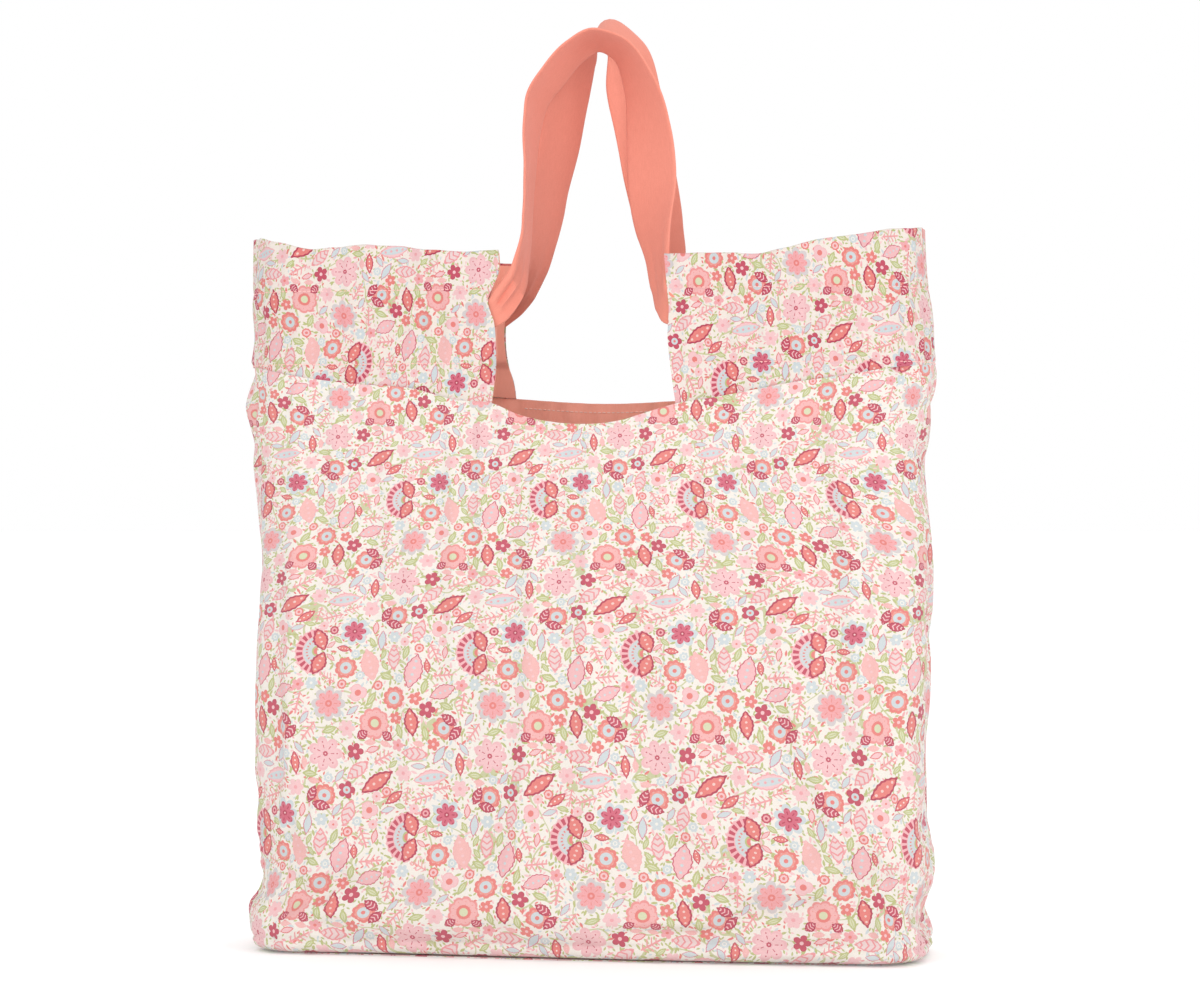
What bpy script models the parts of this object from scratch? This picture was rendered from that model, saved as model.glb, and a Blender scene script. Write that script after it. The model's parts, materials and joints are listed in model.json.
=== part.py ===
"""Foldable cotton tote bag: a boxed printed body, two ears that carry a webbing loop in a casing,
and the two handles that the loop forms. Metres, +Z up, origin at the middle of the base's underside.
+X is to the bag's right seen from the front, and the front faces -Y."""

import math

import bmesh
import bpy
from mathutils import Vector

# Driving dimensions
CLOTH = 0.0010  # printed cotton with its seam allowance pressed flat
GAP = 0.0003  # between pieces that are sewn together
BASE_ROLL = 0.008  # radius with which the walls turn under at the base
CROWN = 0.007  # how far the middle of the front and back stands out

# Height, half width, half depth and corner radius of the filled bag
PROFILE = [
    (0.000, 0.2225, 0.0540, 0.028),
    (0.100, 0.2235, 0.0600, 0.036),
    (0.250, 0.2225, 0.0600, 0.042),
    (0.360, 0.2235, 0.0530, 0.044),
    (0.471, 0.2215, 0.0470, 0.042),
]

NOTCH_HALF = 0.058  # half the width of the gap between the ears
NOTCH_Z = 0.360  # height of its corners
SIDE_SEAM_Z = 0.382  # height of the ear's seam at the side of the bag
FRONT_SAG, BACK_SAG = 0.014, 0.002  # how far the free edge droops between the ears
EAR_TOP_INNER, EAR_TOP_OUTER = 0.459, 0.470  # top edge of an ear at the notch and at the side
FLAT_HALF = 0.150  # the front is spaced in x out to here, before the corner

FACING_HEIGHT = 0.036
FACING_OVERLAP = 0.010  # how far a facing runs on under the ears
FACING_OFFSET = 0.0013
LINING_OFFSET = 0.0041
TUNNEL_OFFSET = 0.0016

STRAP_WIDTH = 0.041
STRAP_THICK = 0.0022
TUNNEL_Z = 0.409  # middle of the webbing inside the casings
MOUTH_Z = 0.419  # and where it comes out of them, gathered and drawn up by the handle

COTTON = ("printed_cotton", (0.93, 0.72, 0.70), 0.90)
CORAL_COTTON = ("coral_cotton", (0.83, 0.27, 0.19), 0.90)
CORAL_STRAP = ("coral_strap", (0.86, 0.29, 0.20), 0.85)


def smooth_between(points, at):
    """The value of a smooth curve through (position, value, ...) points, by Catmull-Rom."""
    last = len(points) - 1
    i = 0
    while i < last - 1 and at > points[i + 1][0]:
        i += 1
    p0, p1, p2, p3 = (points[max(0, min(last, k))] for k in (i - 1, i, i + 1, i + 2))
    t = (at - p1[0]) / (p2[0] - p1[0])
    t = max(0.0, min(1.0, t))
    out = []
    for a, b, c, d in zip(p0[1:], p1[1:], p2[1:], p3[1:]):
        out.append(0.5 * (2 * b + (c - a) * t + (2 * a - 5 * b + 4 * c - d) * t**2
                          + (3 * b - a - 3 * c + d) * t**3))
    return out


def section(z):
    """Half width, half depth and corner radius at a height, with the base's roll taken off."""
    half_x, half_y, radius = smooth_between(PROFILE, z)
    if z < BASE_ROLL:
        inset = BASE_ROLL - math.sqrt(BASE_ROLL**2 - (BASE_ROLL - z) ** 2)
        half_x -= inset
        half_y -= inset
    return half_x, half_y, radius


def place(station, z, offset):
    """A point of the bag's wall, moved inwards by an offset. A station is where it is on the outline: on a
    face at x = t, round a corner by the angle t, or on a side at y = t."""
    half_x, half_y, radius = section(z)
    flat_x, flat_y = half_x - radius, half_y - radius
    kind, sign_x, sign_y, t = station
    if kind == "face":
        bulge = CROWN * math.cos(math.pi * t / (2 * flat_x)) ** 2
        return Vector((t, sign_y * (half_y + bulge - offset), z))
    if kind == "corner":
        reach = radius - offset
        return Vector((sign_x * (flat_x + reach * math.sin(t)), sign_y * (flat_y + reach * math.cos(t)), z))
    return Vector((sign_x * (half_x - offset), t, z))


def face_stations(sign_y, start, end, count):
    step = (end - start) / count
    return [("face", 0, sign_y, start + step * i) for i in range(count + 1)]


def corner_stations(sign_x, sign_y, count=8):
    """Round one corner, from the face to the side."""
    return [("corner", sign_x, sign_y, math.pi / 2 * i / count) for i in range(count + 1)]


def wall_stations(sign_y):
    """From the left side seam, over the front or the back, to the right side seam."""
    left = corner_stations(-1, sign_y)[::-1]
    middle = face_stations(sign_y, -FLAT_HALF, -NOTCH_HALF, 6)
    middle += face_stations(sign_y, -NOTCH_HALF, NOTCH_HALF, 10)[1:]
    middle += face_stations(sign_y, NOTCH_HALF, FLAT_HALF, 6)[1:]
    seam = sign_y * GAP / 2
    return [("side", -1, 0, seam)] + left + middle + corner_stations(1, sign_y) + [("side", 1, 0, seam)]


def ear_stations(sign_x):
    """From the front edge of the notch, round the side, to the back edge of the notch."""
    front = face_stations(-1, sign_x * NOTCH_HALF, sign_x * FLAT_HALF, 6)
    back = face_stations(1, sign_x * FLAT_HALF, sign_x * NOTCH_HALF, 6)
    return front + corner_stations(sign_x, -1) + corner_stations(sign_x, 1)[::-1] + back


def seam_height(station):
    """Where the body ends: the ear's seam, or the free edge between the ears."""
    kind, sign_x, sign_y, t = station
    if kind != "face":
        return SIDE_SEAM_Z
    if abs(t) < NOTCH_HALF:
        sag = FRONT_SAG if sign_y < 0 else BACK_SAG
        return NOTCH_Z - sag * (1 - (t / NOTCH_HALF) ** 2)
    return NOTCH_Z + (SIDE_SEAM_Z - NOTCH_Z) * (abs(t) - NOTCH_HALF) / (FLAT_HALF - NOTCH_HALF)


def ear_top(station):
    kind, sign_x, sign_y, t = station
    if kind != "face":
        return EAR_TOP_OUTER
    return EAR_TOP_INNER + (EAR_TOP_OUTER - EAR_TOP_INNER) * (abs(t) - NOTCH_HALF) / (FLAT_HALF - NOTCH_HALF)


def paint(obj, material):
    name, colour, roughness = material
    mat = bpy.data.materials.get(name + "_" + obj.name) or bpy.data.materials.new(name + "_" + obj.name)
    mat.use_nodes = True
    shader = mat.node_tree.nodes["Principled BSDF"]
    shader.inputs["Base Color"].default_value = (*colour, 1)
    shader.inputs["Roughness"].default_value = roughness
    shader.inputs["Metallic"].default_value = 0.0
    obj.data.materials.append(mat)


def solid_from_layers(name, outer, inner, material):
    """Closes two grids of points, [column][row], into one solid."""
    mesh = bpy.data.meshes.new(name)
    bm = bmesh.new()
    grids = [[[bm.verts.new(p) for p in column] for column in layer] for layer in (outer, inner)]
    columns, rows = len(outer), len(outer[0])
    for grid, flip in zip(grids, (False, True)):
        for i in range(columns - 1):
            for j in range(rows - 1):
                quad = [grid[i][j], grid[i + 1][j], grid[i + 1][j + 1], grid[i][j + 1]]
                bm.faces.new(quad[::-1] if flip else quad)
    rim = [(i, 0) for i in range(columns)] + [(columns - 1, j) for j in range(1, rows)]
    rim += [(i, rows - 1) for i in range(columns - 2, -1, -1)] + [(0, j) for j in range(rows - 2, 0, -1)]
    for (i, j), (k, m) in zip(rim, rim[1:] + rim[:1]):
        bm.faces.new([grids[0][k][m], grids[0][i][j], grids[1][i][j], grids[1][k][m]])
    bmesh.ops.recalc_face_normals(bm, faces=bm.faces)
    bm.to_mesh(mesh)
    bm.free()
    obj = bpy.data.objects.new(name, mesh)
    bpy.context.scene.collection.objects.link(obj)
    mesh.shade_smooth()
    mesh.set_sharp_from_angle(angle=math.radians(40))
    paint(obj, material)
    return obj


def even_rows(count):
    return [j / count for j in range(count + 1)]


def cloth_slab(name, material, stations, low, high, rows, offset, thickness):
    """A cut piece lying on the bag's outline between two heights, each a function of the station.
    rows are the shares of that height where its points lie."""
    layers = []
    for depth in (offset, offset + thickness):
        layer = []
        for station in stations:
            z0, z1 = low(station), high(station)
            layer.append([place(station, z0 + (z1 - z0) * share, depth) for share in rows])
        layers.append(layer)
    return solid_from_layers(name, layers[0], layers[1], material)


def base_plate(name, material):
    """The flat base gusset, inside the walls' turned-under edge."""
    offset = CLOTH + GAP
    outline = []
    for sign_y in (-1, 1):
        half = wall_stations(sign_y)
        outline += half if sign_y < 0 else half[::-1]
    mesh = bpy.data.meshes.new(name)
    bm = bmesh.new()
    rings = []
    for height in (0.0, CLOTH):
        ring = []
        for station in outline:
            point = place(station, 0.0, offset)
            point.z = height
            ring.append(bm.verts.new(point))
        rings.append(ring)
    bm.faces.new(rings[0][::-1])
    bm.faces.new(rings[1])
    for i, lower in enumerate(rings[0]):
        k = (i + 1) % len(outline)
        bm.faces.new([lower, rings[0][k], rings[1][k], rings[1][i]])
    bmesh.ops.triangulate(bm, faces=[f for f in bm.faces if len(f.verts) > 4])
    bmesh.ops.recalc_face_normals(bm, faces=bm.faces)
    bm.to_mesh(mesh)
    bm.free()
    obj = bpy.data.objects.new(name, mesh)
    bpy.context.scene.collection.objects.link(obj)
    paint(obj, material)
    return obj


def strap(name, material, stations, steps, hinge):
    """A flat strap swept through stations: the place of its middle, the direction from its far edge to
    its near edge, and its width as a share of the full width. The object's origin lies on its hinge."""
    knots = [(i, *station) for i, station in enumerate(stations)]
    frames = [smooth_between(knots, (len(stations) - 1) * i / steps) for i in range(steps + 1)]
    centres = [Vector(frame[:3]) for frame in frames]
    outer, inner = [], []
    for i, frame in enumerate(frames):
        along = (centres[min(i + 1, steps)] - centres[max(i - 1, 0)]).normalized()
        across = Vector(frame[3:6])
        across = (across - along * across.dot(along)).normalized()
        normal = along.cross(across)
        half = STRAP_WIDTH / 2 * min(1.0, frame[6])
        edges = [centres[i] + across * half * share for share in (-1, 0, 1)]
        outer.append([p + normal * STRAP_THICK / 2 - hinge for p in edges])
        inner.append([p - normal * STRAP_THICK / 2 - hinge for p in edges])
    obj = solid_from_layers(name, outer, inner, material)
    obj.location = hinge
    return obj


def handles():
    """Each handle is drawn up out of the mouths of the two casings, where the webbing is gathered to
    half its width, and turns to run over the hand with its width front to back. The back one turns
    over near its top."""
    mouth_y = section(MOUTH_Z)[1] + CROWN * 0.8 - TUNNEL_OFFSET - STRAP_THICK / 2
    mouth_x = NOTCH_HALF - 0.0045
    front = [
        (-mouth_x, -mouth_y, MOUTH_Z, 0.00, 0.00, 1.00, 0.50),
        (-0.0480, -0.0515, 0.4215, -0.35, -0.30, 0.90, 0.55),
        (-0.0430, -0.0460, 0.4360, -0.75, -0.60, 0.40, 0.70),
        (-0.0385, -0.0350, 0.4580, -0.45, -0.90, 0.15, 0.90),
        (-0.0370, -0.0260, 0.4880, -0.15, -1.00, 0.02, 1.00),
        (-0.0370, -0.0220, 0.5280, -0.05, -1.00, 0.00, 1.00),
        (-0.0330, -0.0215, 0.5680, -0.02, -1.00, 0.05, 1.00),
        (-0.0200, -0.0212, 0.5910, -0.05, -0.98, 0.15, 1.00),
        (0.0000, -0.0212, 0.5990, 0.00, -0.97, 0.22, 1.00),
        (0.0200, -0.0205, 0.5890, 0.20, -0.95, 0.25, 1.00),
        (0.0340, -0.0185, 0.5670, 0.60, -0.80, 0.10, 1.00),
        (0.0410, -0.0150, 0.5260, 0.80, -0.60, 0.00, 1.00),
        (0.0410, -0.0200, 0.4850, 0.70, -0.70, 0.00, 1.00),
        (0.0415, -0.0340, 0.4550, 0.60, -0.80, 0.20, 0.85),
        (0.0440, -0.0460, 0.4360, 0.55, -0.60, 0.50, 0.70),
        (0.0480, -0.0515, 0.4215, 0.30, -0.30, 0.90, 0.55),
        (mouth_x, -mouth_y, MOUTH_Z, 0.00, 0.00, 1.00, 0.50),
    ]
    back = [
        (-mouth_x, mouth_y, MOUTH_Z, 0.00, 0.00, 1.00, 0.50),
        (-0.0480, 0.0515, 0.4215, -0.30, -0.20, 0.90, 0.55),
        (-0.0430, 0.0450, 0.4360, -0.70, -0.60, 0.40, 0.70),
        (-0.0380, 0.0340, 0.4580, -0.40, -0.90, 0.15, 0.90),
        (-0.0340, 0.0250, 0.4830, -0.35, -0.93, 0.00, 1.00),
        (-0.0285, 0.0210, 0.5110, -0.45, -0.90, 0.00, 1.00),
        (-0.0230, 0.0200, 0.5410, -0.55, -0.83, 0.00, 1.00),
        (-0.0170, 0.0195, 0.5720, -0.55, -0.83, 0.00, 1.00),
        (-0.0070, 0.0205, 0.5960, -0.30, -0.95, -0.10, 1.00),
        (0.0080, 0.0200, 0.6050, -0.15, -0.85, -0.45, 1.00),
        (0.0210, 0.0195, 0.5880, -0.50, -0.80, -0.30, 1.00),
        (0.0290, 0.0200, 0.5580, -0.60, -0.80, 0.00, 1.00),
        (0.0370, 0.0215, 0.5130, -0.60, -0.80, 0.00, 1.00),
        (0.0390, 0.0280, 0.4750, -0.45, -0.88, -0.05, 1.00),
        (0.0400, 0.0380, 0.4490, -0.50, -0.75, -0.40, 0.80),
        (0.0440, 0.0470, 0.4330, -0.50, -0.40, -0.75, 0.65),
        (0.0485, 0.0520, 0.4220, -0.25, -0.20, -0.95, 0.55),
        (mouth_x, mouth_y, MOUTH_Z, 0.00, 0.00, -1.00, 0.50),
    ]
    strap("front_handle", CORAL_STRAP, front, 64, Vector((0, -mouth_y, MOUTH_Z)))
    strap("back_handle", CORAL_STRAP, back, 64, Vector((0, mouth_y, MOUTH_Z)))


def build():
    for obj in list(bpy.data.objects):
        bpy.data.objects.remove(obj)

    def floor(station):
        return 0.0

    def body_top(station):
        return seam_height(station) - GAP

    wall_rows = [0.0, 0.0035, 0.009, 0.019, 0.045] + [0.1 + 0.9 * share for share in even_rows(11)]
    for name, sign_y in (("front_panel", -1), ("back_panel", 1)):
        cloth_slab(name, COTTON, wall_stations(sign_y), floor, body_top, wall_rows, 0.0, CLOTH)
    base_plate("base_panel", COTTON)

    for name, sign_y in (("front_facing", -1), ("back_facing", 1)):
        reach = NOTCH_HALF + FACING_OVERLAP
        stations = face_stations(sign_y, -reach, -NOTCH_HALF, 1)
        stations += face_stations(sign_y, -NOTCH_HALF, NOTCH_HALF, 10)[1:]
        stations += face_stations(sign_y, NOTCH_HALF, reach, 1)[1:]
        cloth_slab(name, CORAL_COTTON, stations, lambda s: seam_height(s) - FACING_HEIGHT, body_top,
                   even_rows(3), FACING_OFFSET, CLOTH)

    for side, sign_x in (("left", -1), ("right", 1)):
        stations = ear_stations(sign_x)
        cloth_slab(side + "_ear", COTTON, stations, seam_height, ear_top, even_rows(6), 0.0, CLOTH)
        cloth_slab(side + "_ear_lining", CORAL_COTTON, stations, seam_height, ear_top, even_rows(6),
                   LINING_OFFSET, CLOTH)
        cloth_slab(side + "_casing_strap", CORAL_STRAP, stations, lambda s: TUNNEL_Z - STRAP_WIDTH / 2,
                   lambda s: TUNNEL_Z + STRAP_WIDTH / 2, even_rows(1), TUNNEL_OFFSET, STRAP_THICK)
    handles()


build()
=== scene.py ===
"""Looks of the foldable tote bag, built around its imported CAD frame. Metres, +Z up, the front faces -Y.

Every cloth piece is laid out on the bag's outline: u is the distance round from the middle of the front or
the back, and z is the height. The body is draped by a cloth simulation, and the print, weave and thread are
procedural materials in the cloth's own coordinates."""

import json
import math

import bpy
import numpy as np
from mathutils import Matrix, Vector, noise


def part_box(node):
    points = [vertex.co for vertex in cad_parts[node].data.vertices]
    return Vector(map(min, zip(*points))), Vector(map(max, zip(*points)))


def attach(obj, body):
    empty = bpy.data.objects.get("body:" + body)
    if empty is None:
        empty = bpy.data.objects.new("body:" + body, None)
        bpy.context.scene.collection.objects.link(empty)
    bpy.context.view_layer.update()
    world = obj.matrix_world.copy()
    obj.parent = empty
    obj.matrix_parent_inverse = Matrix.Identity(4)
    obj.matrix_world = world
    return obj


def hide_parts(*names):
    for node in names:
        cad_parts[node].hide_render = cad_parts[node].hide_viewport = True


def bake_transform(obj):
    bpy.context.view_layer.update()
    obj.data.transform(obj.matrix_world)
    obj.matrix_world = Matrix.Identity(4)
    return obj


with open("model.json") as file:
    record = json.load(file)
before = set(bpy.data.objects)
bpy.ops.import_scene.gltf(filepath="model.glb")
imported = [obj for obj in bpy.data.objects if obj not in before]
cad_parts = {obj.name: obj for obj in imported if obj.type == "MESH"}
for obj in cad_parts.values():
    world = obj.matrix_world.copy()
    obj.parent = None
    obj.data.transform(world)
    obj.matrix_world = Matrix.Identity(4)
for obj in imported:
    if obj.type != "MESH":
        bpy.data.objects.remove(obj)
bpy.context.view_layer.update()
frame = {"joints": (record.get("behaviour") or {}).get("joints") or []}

# Heights and widths that the CAD settles. An ear's casing is the tunnel that its webbing runs in
PANEL_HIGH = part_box("front_panel")[1]
EAR_LOW, EAR_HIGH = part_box("right_ear")
TUNNEL_LOW, TUNNEL_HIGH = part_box("right_casing_strap")
FACING_LOW, FACING_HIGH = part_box("back_facing")
JOINTS = {joint["name"]: Vector(joint["pos_m"]) for joint in frame["joints"]}
HALF_WIDTH = PANEL_HIGH.x
NOTCH_Z = EAR_LOW.z
EAR_TOP = EAR_HIGH.z
STITCH_LOW = TUNNEL_LOW.z - 0.003  # the casing's two seams run just outside the webbing
STITCH_HIGH = TUNNEL_HIGH.z + 0.004
STRAP_WIDTH = TUNNEL_HIGH.z - TUNNEL_LOW.z
MOUTH_Z = JOINTS["front_handle_swing"].z

# Cloth
CLOTH = 0.0005  # thickness
BASE_ROLL = 0.008  # radius with which the walls turn under at the base
BASE_SEAM_Z = 0.0085
CROWN = 0.007  # how far the middle of the front and back stands out
SEAM_GAP, SIDE_GAP = 0.0002, 0.0001  # between pieces that are sewn together
LINING_IN = 0.0042  # the lining lies this far in at the casing, behind the webbing
LINING_LOW = 0.0012  # this far in at the ear's seam
LINING_TOP = 0.0028  # and this far in at the ear's top edge, behind the turned edge
HEM_IN, HEM_DROP = 0.0023, 0.0020  # how far in and how far down the ear's turned edge goes
WEBBING_IN = 0.0023  # the casing's webbing lies this far in, and is this thick:
CASING_THICK = 0.0015
FACING_HEIGHT = FACING_HIGH.z - FACING_LOW.z
STRAP_THICK = 0.0018  # the handles', folded twice
STRAP_CUP = 0.0012  # how far their edges curl up

BASE_SHRINK = 0.999  # keeps the base just inside the walls' lower edge

# Sizes that the pieces are cut to, in metres
FACING_TUCK = 0.012  # how much further than in the CAD the facings run on under the ears
EDGE_STITCH = 0.006  # how far below the free edge its topstitching runs

# The outline's reference lengths: half the flat front, a corner's arc, half the side between the corners
FACE, CORNER, SIDE = 0.1835, 0.0628, 0.0165
REACH = FACE + CORNER + SIDE


def bell(distance, width):
    return np.exp(-((distance / width) ** 2))


def fading(distance, reach):
    return np.exp(-np.abs(distance) / reach)


def smooth_step(t):
    t = np.clip(t, 0, 1)
    return t * t * (3 - 2 * t)


def unit(vectors):
    return vectors / np.linalg.norm(vectors, axis=-1, keepdims=True)


def lengths_along(points):
    """How far each point of a line is from its start, along the line."""
    return np.concatenate([[0], np.cumsum(np.linalg.norm(np.diff(points, axis=0), axis=1))])


def smooth_curve(points):
    """A function that runs smoothly through (position, value) points, and stays level beyond its ends."""
    xs, ys = np.array(points, float).T
    slopes = np.gradient(ys, xs)

    def value(at):
        at = np.clip(at, xs[0], xs[-1])
        i = np.clip(np.searchsorted(xs, at) - 1, 0, len(xs) - 2)
        step = xs[i + 1] - xs[i]
        t = (at - xs[i]) / step
        return ((2 * t**3 - 3 * t**2 + 1) * ys[i] + (t**3 - 2 * t**2 + t) * step * slopes[i]
                + (3 * t**2 - 2 * t**3) * ys[i + 1] + (t**3 - t**2) * step * slopes[i + 1])

    return value


# Half width of the bag on each side by height: the pinches and bulges of its silhouette
left_half = smooth_curve([
    (0.000, 0.2200), (0.020, 0.2211), (0.059, 0.2177), (0.099, 0.2157), (0.125, 0.2177), (0.165, 0.2204),
    (0.198, 0.2179), (0.257, 0.2177), (0.297, 0.2204), (0.337, 0.2257), (0.370, 0.2277), (0.385, 0.2257),
    (0.404, 0.2217), (0.429, 0.2244), (0.471, 0.2222),
])
right_half = smooth_curve([
    (0.000, 0.2205), (0.033, 0.2221), (0.073, 0.2234), (0.112, 0.2208), (0.139, 0.2184), (0.165, 0.2195),
    (0.205, 0.2221), (0.231, 0.2259), (0.251, 0.2265), (0.284, 0.2221), (0.317, 0.2184), (0.350, 0.2225),
    (0.381, 0.2265), (0.403, 0.2234), (0.429, 0.2221), (0.454, 0.2190), (0.472, 0.2172),
])
half_depth = smooth_curve([
    (0.000, 0.0540), (0.100, 0.0600), (0.250, 0.0600), (NOTCH_Z, 0.0530), (EAR_TOP, 0.0470),
])
corner_radius = smooth_curve([
    (0.000, 0.028), (0.100, 0.036), (0.250, 0.042), (NOTCH_Z, 0.044), (EAR_TOP, 0.042),
])

# Where the ears begin, as x by height, on the front and on the back
front_left_edge = smooth_curve([
    (0.358, -0.0557), (0.384, -0.0531), (0.3935, -0.0531), (0.4115, -0.0544), (0.4270, -0.0585),
    (0.4330, -0.0566), (0.4450, -0.0516), (0.4570, -0.0518),
])
front_right_edge = smooth_curve([
    (0.358, 0.0642), (0.3807, 0.0609), (0.4000, 0.0589), (0.4230, 0.0594), (0.4320, 0.0583),
    (0.4527, 0.0563),
])
back_left_edge = smooth_curve([
    (0.358, -0.0600), (0.3760, -0.0620), (0.3900, -0.0660), (0.4250, -0.0660), (0.4400, -0.0610),
    (0.4570, -0.0600),
])
back_right_edge = smooth_curve([(0.358, 0.0590), (0.3900, 0.0600), (0.4570, 0.0585)])

# The ear's seam and its top edge by x, on the front; the back is plainer
front_seam = smooth_curve([
    (-0.224, 0.3848), (-0.178, 0.3762), (-0.146, 0.3723), (-0.108, 0.3691), (-0.078, 0.3614),
    (-0.0557, 0.3594), (-0.0368, 0.3517), (-0.0205, 0.3478), (0.0023, 0.3456), (0.0284, 0.3478),
    (0.0479, 0.3536), (0.0642, 0.3584), (0.0896, 0.3626), (0.1358, 0.3716), (0.1710, 0.3765),
    (0.2114, 0.3830), (0.224, 0.3838),
])
back_seam = smooth_curve([
    (-0.224, 0.3848), (-0.150, 0.3740), (-0.0600, 0.3655), (0.0000, 0.3620), (0.0590, 0.3645),
    (0.150, 0.3740), (0.224, 0.3838),
])
front_top = smooth_curve([
    (-0.222, 0.4700), (-0.200, 0.4655), (-0.180, 0.4598), (-0.159, 0.4610), (-0.1417, 0.4624),
    (-0.1235, 0.4617), (-0.1052, 0.4590), (-0.0520, 0.4572), (0.0560, 0.4546), (0.0993, 0.4540),
    (0.1215, 0.4546), (0.1378, 0.4578), (0.1573, 0.4630), (0.1827, 0.4662), (0.217, 0.4718),
])
back_top = smooth_curve([
    (-0.222, 0.4700), (-0.170, 0.4640), (-0.110, 0.4622), (-0.060, 0.4560), (0.0585, 0.4535),
    (0.110, 0.4560), (0.165, 0.4610), (0.217, 0.4718),
])


def outline(u, z, side):
    """Points on the bag's outline, and the level outward direction there. side is -1 on the front and 1 on
    the back; each of u, z and side may be one number or an array."""
    u, z, side = np.broadcast_arrays(u, z, side)
    half_x = np.where(u < 0, left_half(z), right_half(z))
    half_y, radius = half_depth(z), corner_radius(z)
    under = np.clip(BASE_ROLL - z, 0, BASE_ROLL)
    inset = BASE_ROLL - np.sqrt(BASE_ROLL**2 - under**2)
    half_x, half_y = half_x - inset, half_y - inset
    flat_x, flat_y = half_x - radius, half_y - radius
    along = np.abs(u)
    on_face = np.clip(along / FACE, 0, 1)
    angle = np.clip((along - FACE) / CORNER, 0, 1) * math.pi / 2
    on_side = np.clip((along - FACE - CORNER) / SIDE, 0, 1)
    bulge = CROWN * np.cos(math.pi / 2 * on_face) ** 2
    x = np.sign(u) * (on_face * flat_x + radius * np.sin(angle))
    y = side * (flat_y * (1 - on_side) + radius * np.cos(angle) + bulge)
    out = np.stack([np.sign(u) * np.sin(angle), side * np.cos(angle), np.zeros_like(x)], -1)
    return np.stack([x, y, z], -1), out


def u_of_x(x, z):
    """The distance round from the middle of a face at which its outline is at x."""
    half_x = np.where(x < 0, left_half(z), right_half(z))
    return x * FACE / (half_x - corner_radius(z))


def seam_z(u, side):
    x = outline(u, NOTCH_Z, side)[0][..., 0]
    return np.where(side < 0, front_seam(x), back_seam(x))


def top_z(u, side):
    x = outline(u, EAR_TOP, side)[0][..., 0]
    return np.where(side < 0, front_top(x), back_top(x)) + 0.0005 * ripple(u, 0.052, 3.0)


def fractal(points, scale, seed):
    """Smooth noise from -1 to 1 at an array of points, [..., 2] or [..., 3]."""
    flat = np.asarray(points, float)
    flat = flat.reshape(-1, flat.shape[-1]) * scale
    if flat.shape[1] == 2:
        flat = np.column_stack([flat, np.zeros(len(flat))])
    offset = Vector((seed, 2.3 * seed, -1.7 * seed))
    values = [noise.fractal(Vector(p) + offset, 0.8, 2.0, 2) for p in flat]
    return np.array(values).reshape(np.shape(points)[:-1])


def ripple(u, length, seed):
    """An uneven wave along u, from -1 to 1."""
    wobble = fractal(np.stack([u, np.zeros_like(u)], -1), 22.0, seed)
    return np.sin(2 * math.pi * u / length + 4.0 * wobble + seed)


# Folds of the body: side, the two ends (u, z), half width, and height (a groove is negative)
FOLDS = [
    (-1, (-0.262, 0.404), (-0.205, 0.352), 0.007, -0.0030),
    (-1, (-0.262, 0.372), (-0.200, 0.338), 0.008, 0.0026),
    (-1, (-0.255, 0.345), (-0.190, 0.300), 0.008, -0.0020),
    (-1, (-0.240, 0.262), (-0.185, 0.215), 0.010, -0.0016),
    (-1, (0.262, 0.317), (0.190, 0.352), 0.008, -0.0034),
    (-1, (0.262, 0.290), (0.185, 0.262), 0.010, 0.0026),
    (-1, (0.205, 0.383), (0.232, 0.352), 0.006, -0.0024),
    (-1, (0.192, 0.374), (0.214, 0.340), 0.005, 0.0018),
    (-1, (0.262, 0.230), (0.200, 0.200), 0.009, -0.0018),
    (-1, (0.250, 0.139), (0.196, 0.158), 0.010, -0.0018),
    (-1, (-0.250, 0.099), (-0.190, 0.122), 0.010, -0.0018),
    (-1, (-0.062, 0.352), (-0.110, 0.300), 0.009, -0.0012),
    (-1, (0.070, 0.350), (0.118, 0.298), 0.009, -0.0012),
    (-1, (-0.020, 0.336), (0.042, 0.333), 0.008, -0.0012),
    (-1, (0.128, 0.006), (0.176, 0.012), 0.004, 0.0022),
    (-1, (0.120, 0.016), (0.170, 0.024), 0.005, -0.0014),
    (-1, (-0.190, 0.030), (-0.150, 0.012), 0.007, -0.0014),
    (-1, (-0.030, 0.020), (0.050, 0.024), 0.006, -0.0008),
    (1, (-0.262, 0.350), (-0.190, 0.318), 0.009, -0.0028),
    (1, (0.262, 0.366), (0.196, 0.330), 0.009, -0.0028),
    (1, (-0.258, 0.225), (-0.196, 0.190), 0.010, -0.0020),
    (1, (0.258, 0.200), (0.188, 0.232), 0.010, -0.0020),
    (1, (-0.066, 0.356), (-0.120, 0.290), 0.010, -0.0014),
    (1, (0.066, 0.356), (0.124, 0.296), 0.010, -0.0014),
    (1, (-0.100, 0.016), (-0.020, 0.010), 0.005, -0.0012),
    (1, (0.130, 0.026), (0.190, 0.010), 0.006, -0.0014),
]


FOLD_DEPTH = 1.3
SEAM_EASE = 0.025  # how far from a side seam the front and the back begin to differ


def folds_height(u, z, side):
    """How far the folds move the cloth outwards; front and back meet halfway at the side seams."""
    totals = {-1: np.zeros(np.shape(u)), 1: np.zeros(np.shape(u))}
    for face, (u0, z0), (u1, z1), width, height in FOLDS:
        du, dz = u1 - u0, z1 - z0
        share = np.clip(((u - u0) * du + (z - z0) * dz) / (du * du + dz * dz), 0, 1)
        distance = np.hypot(u - u0 - share * du, z - z0 - share * dz)
        fade = FOLD_DEPTH * (1 - 0.75 * share)
        totals[face] += height * fade * bell(distance, width)
    own = np.where(side < 0, totals[-1], totals[1])
    shared = (totals[-1] + totals[1]) / 2
    return shared + (own - shared) * smooth_step((REACH - np.abs(u)) / SEAM_EASE)


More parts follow.
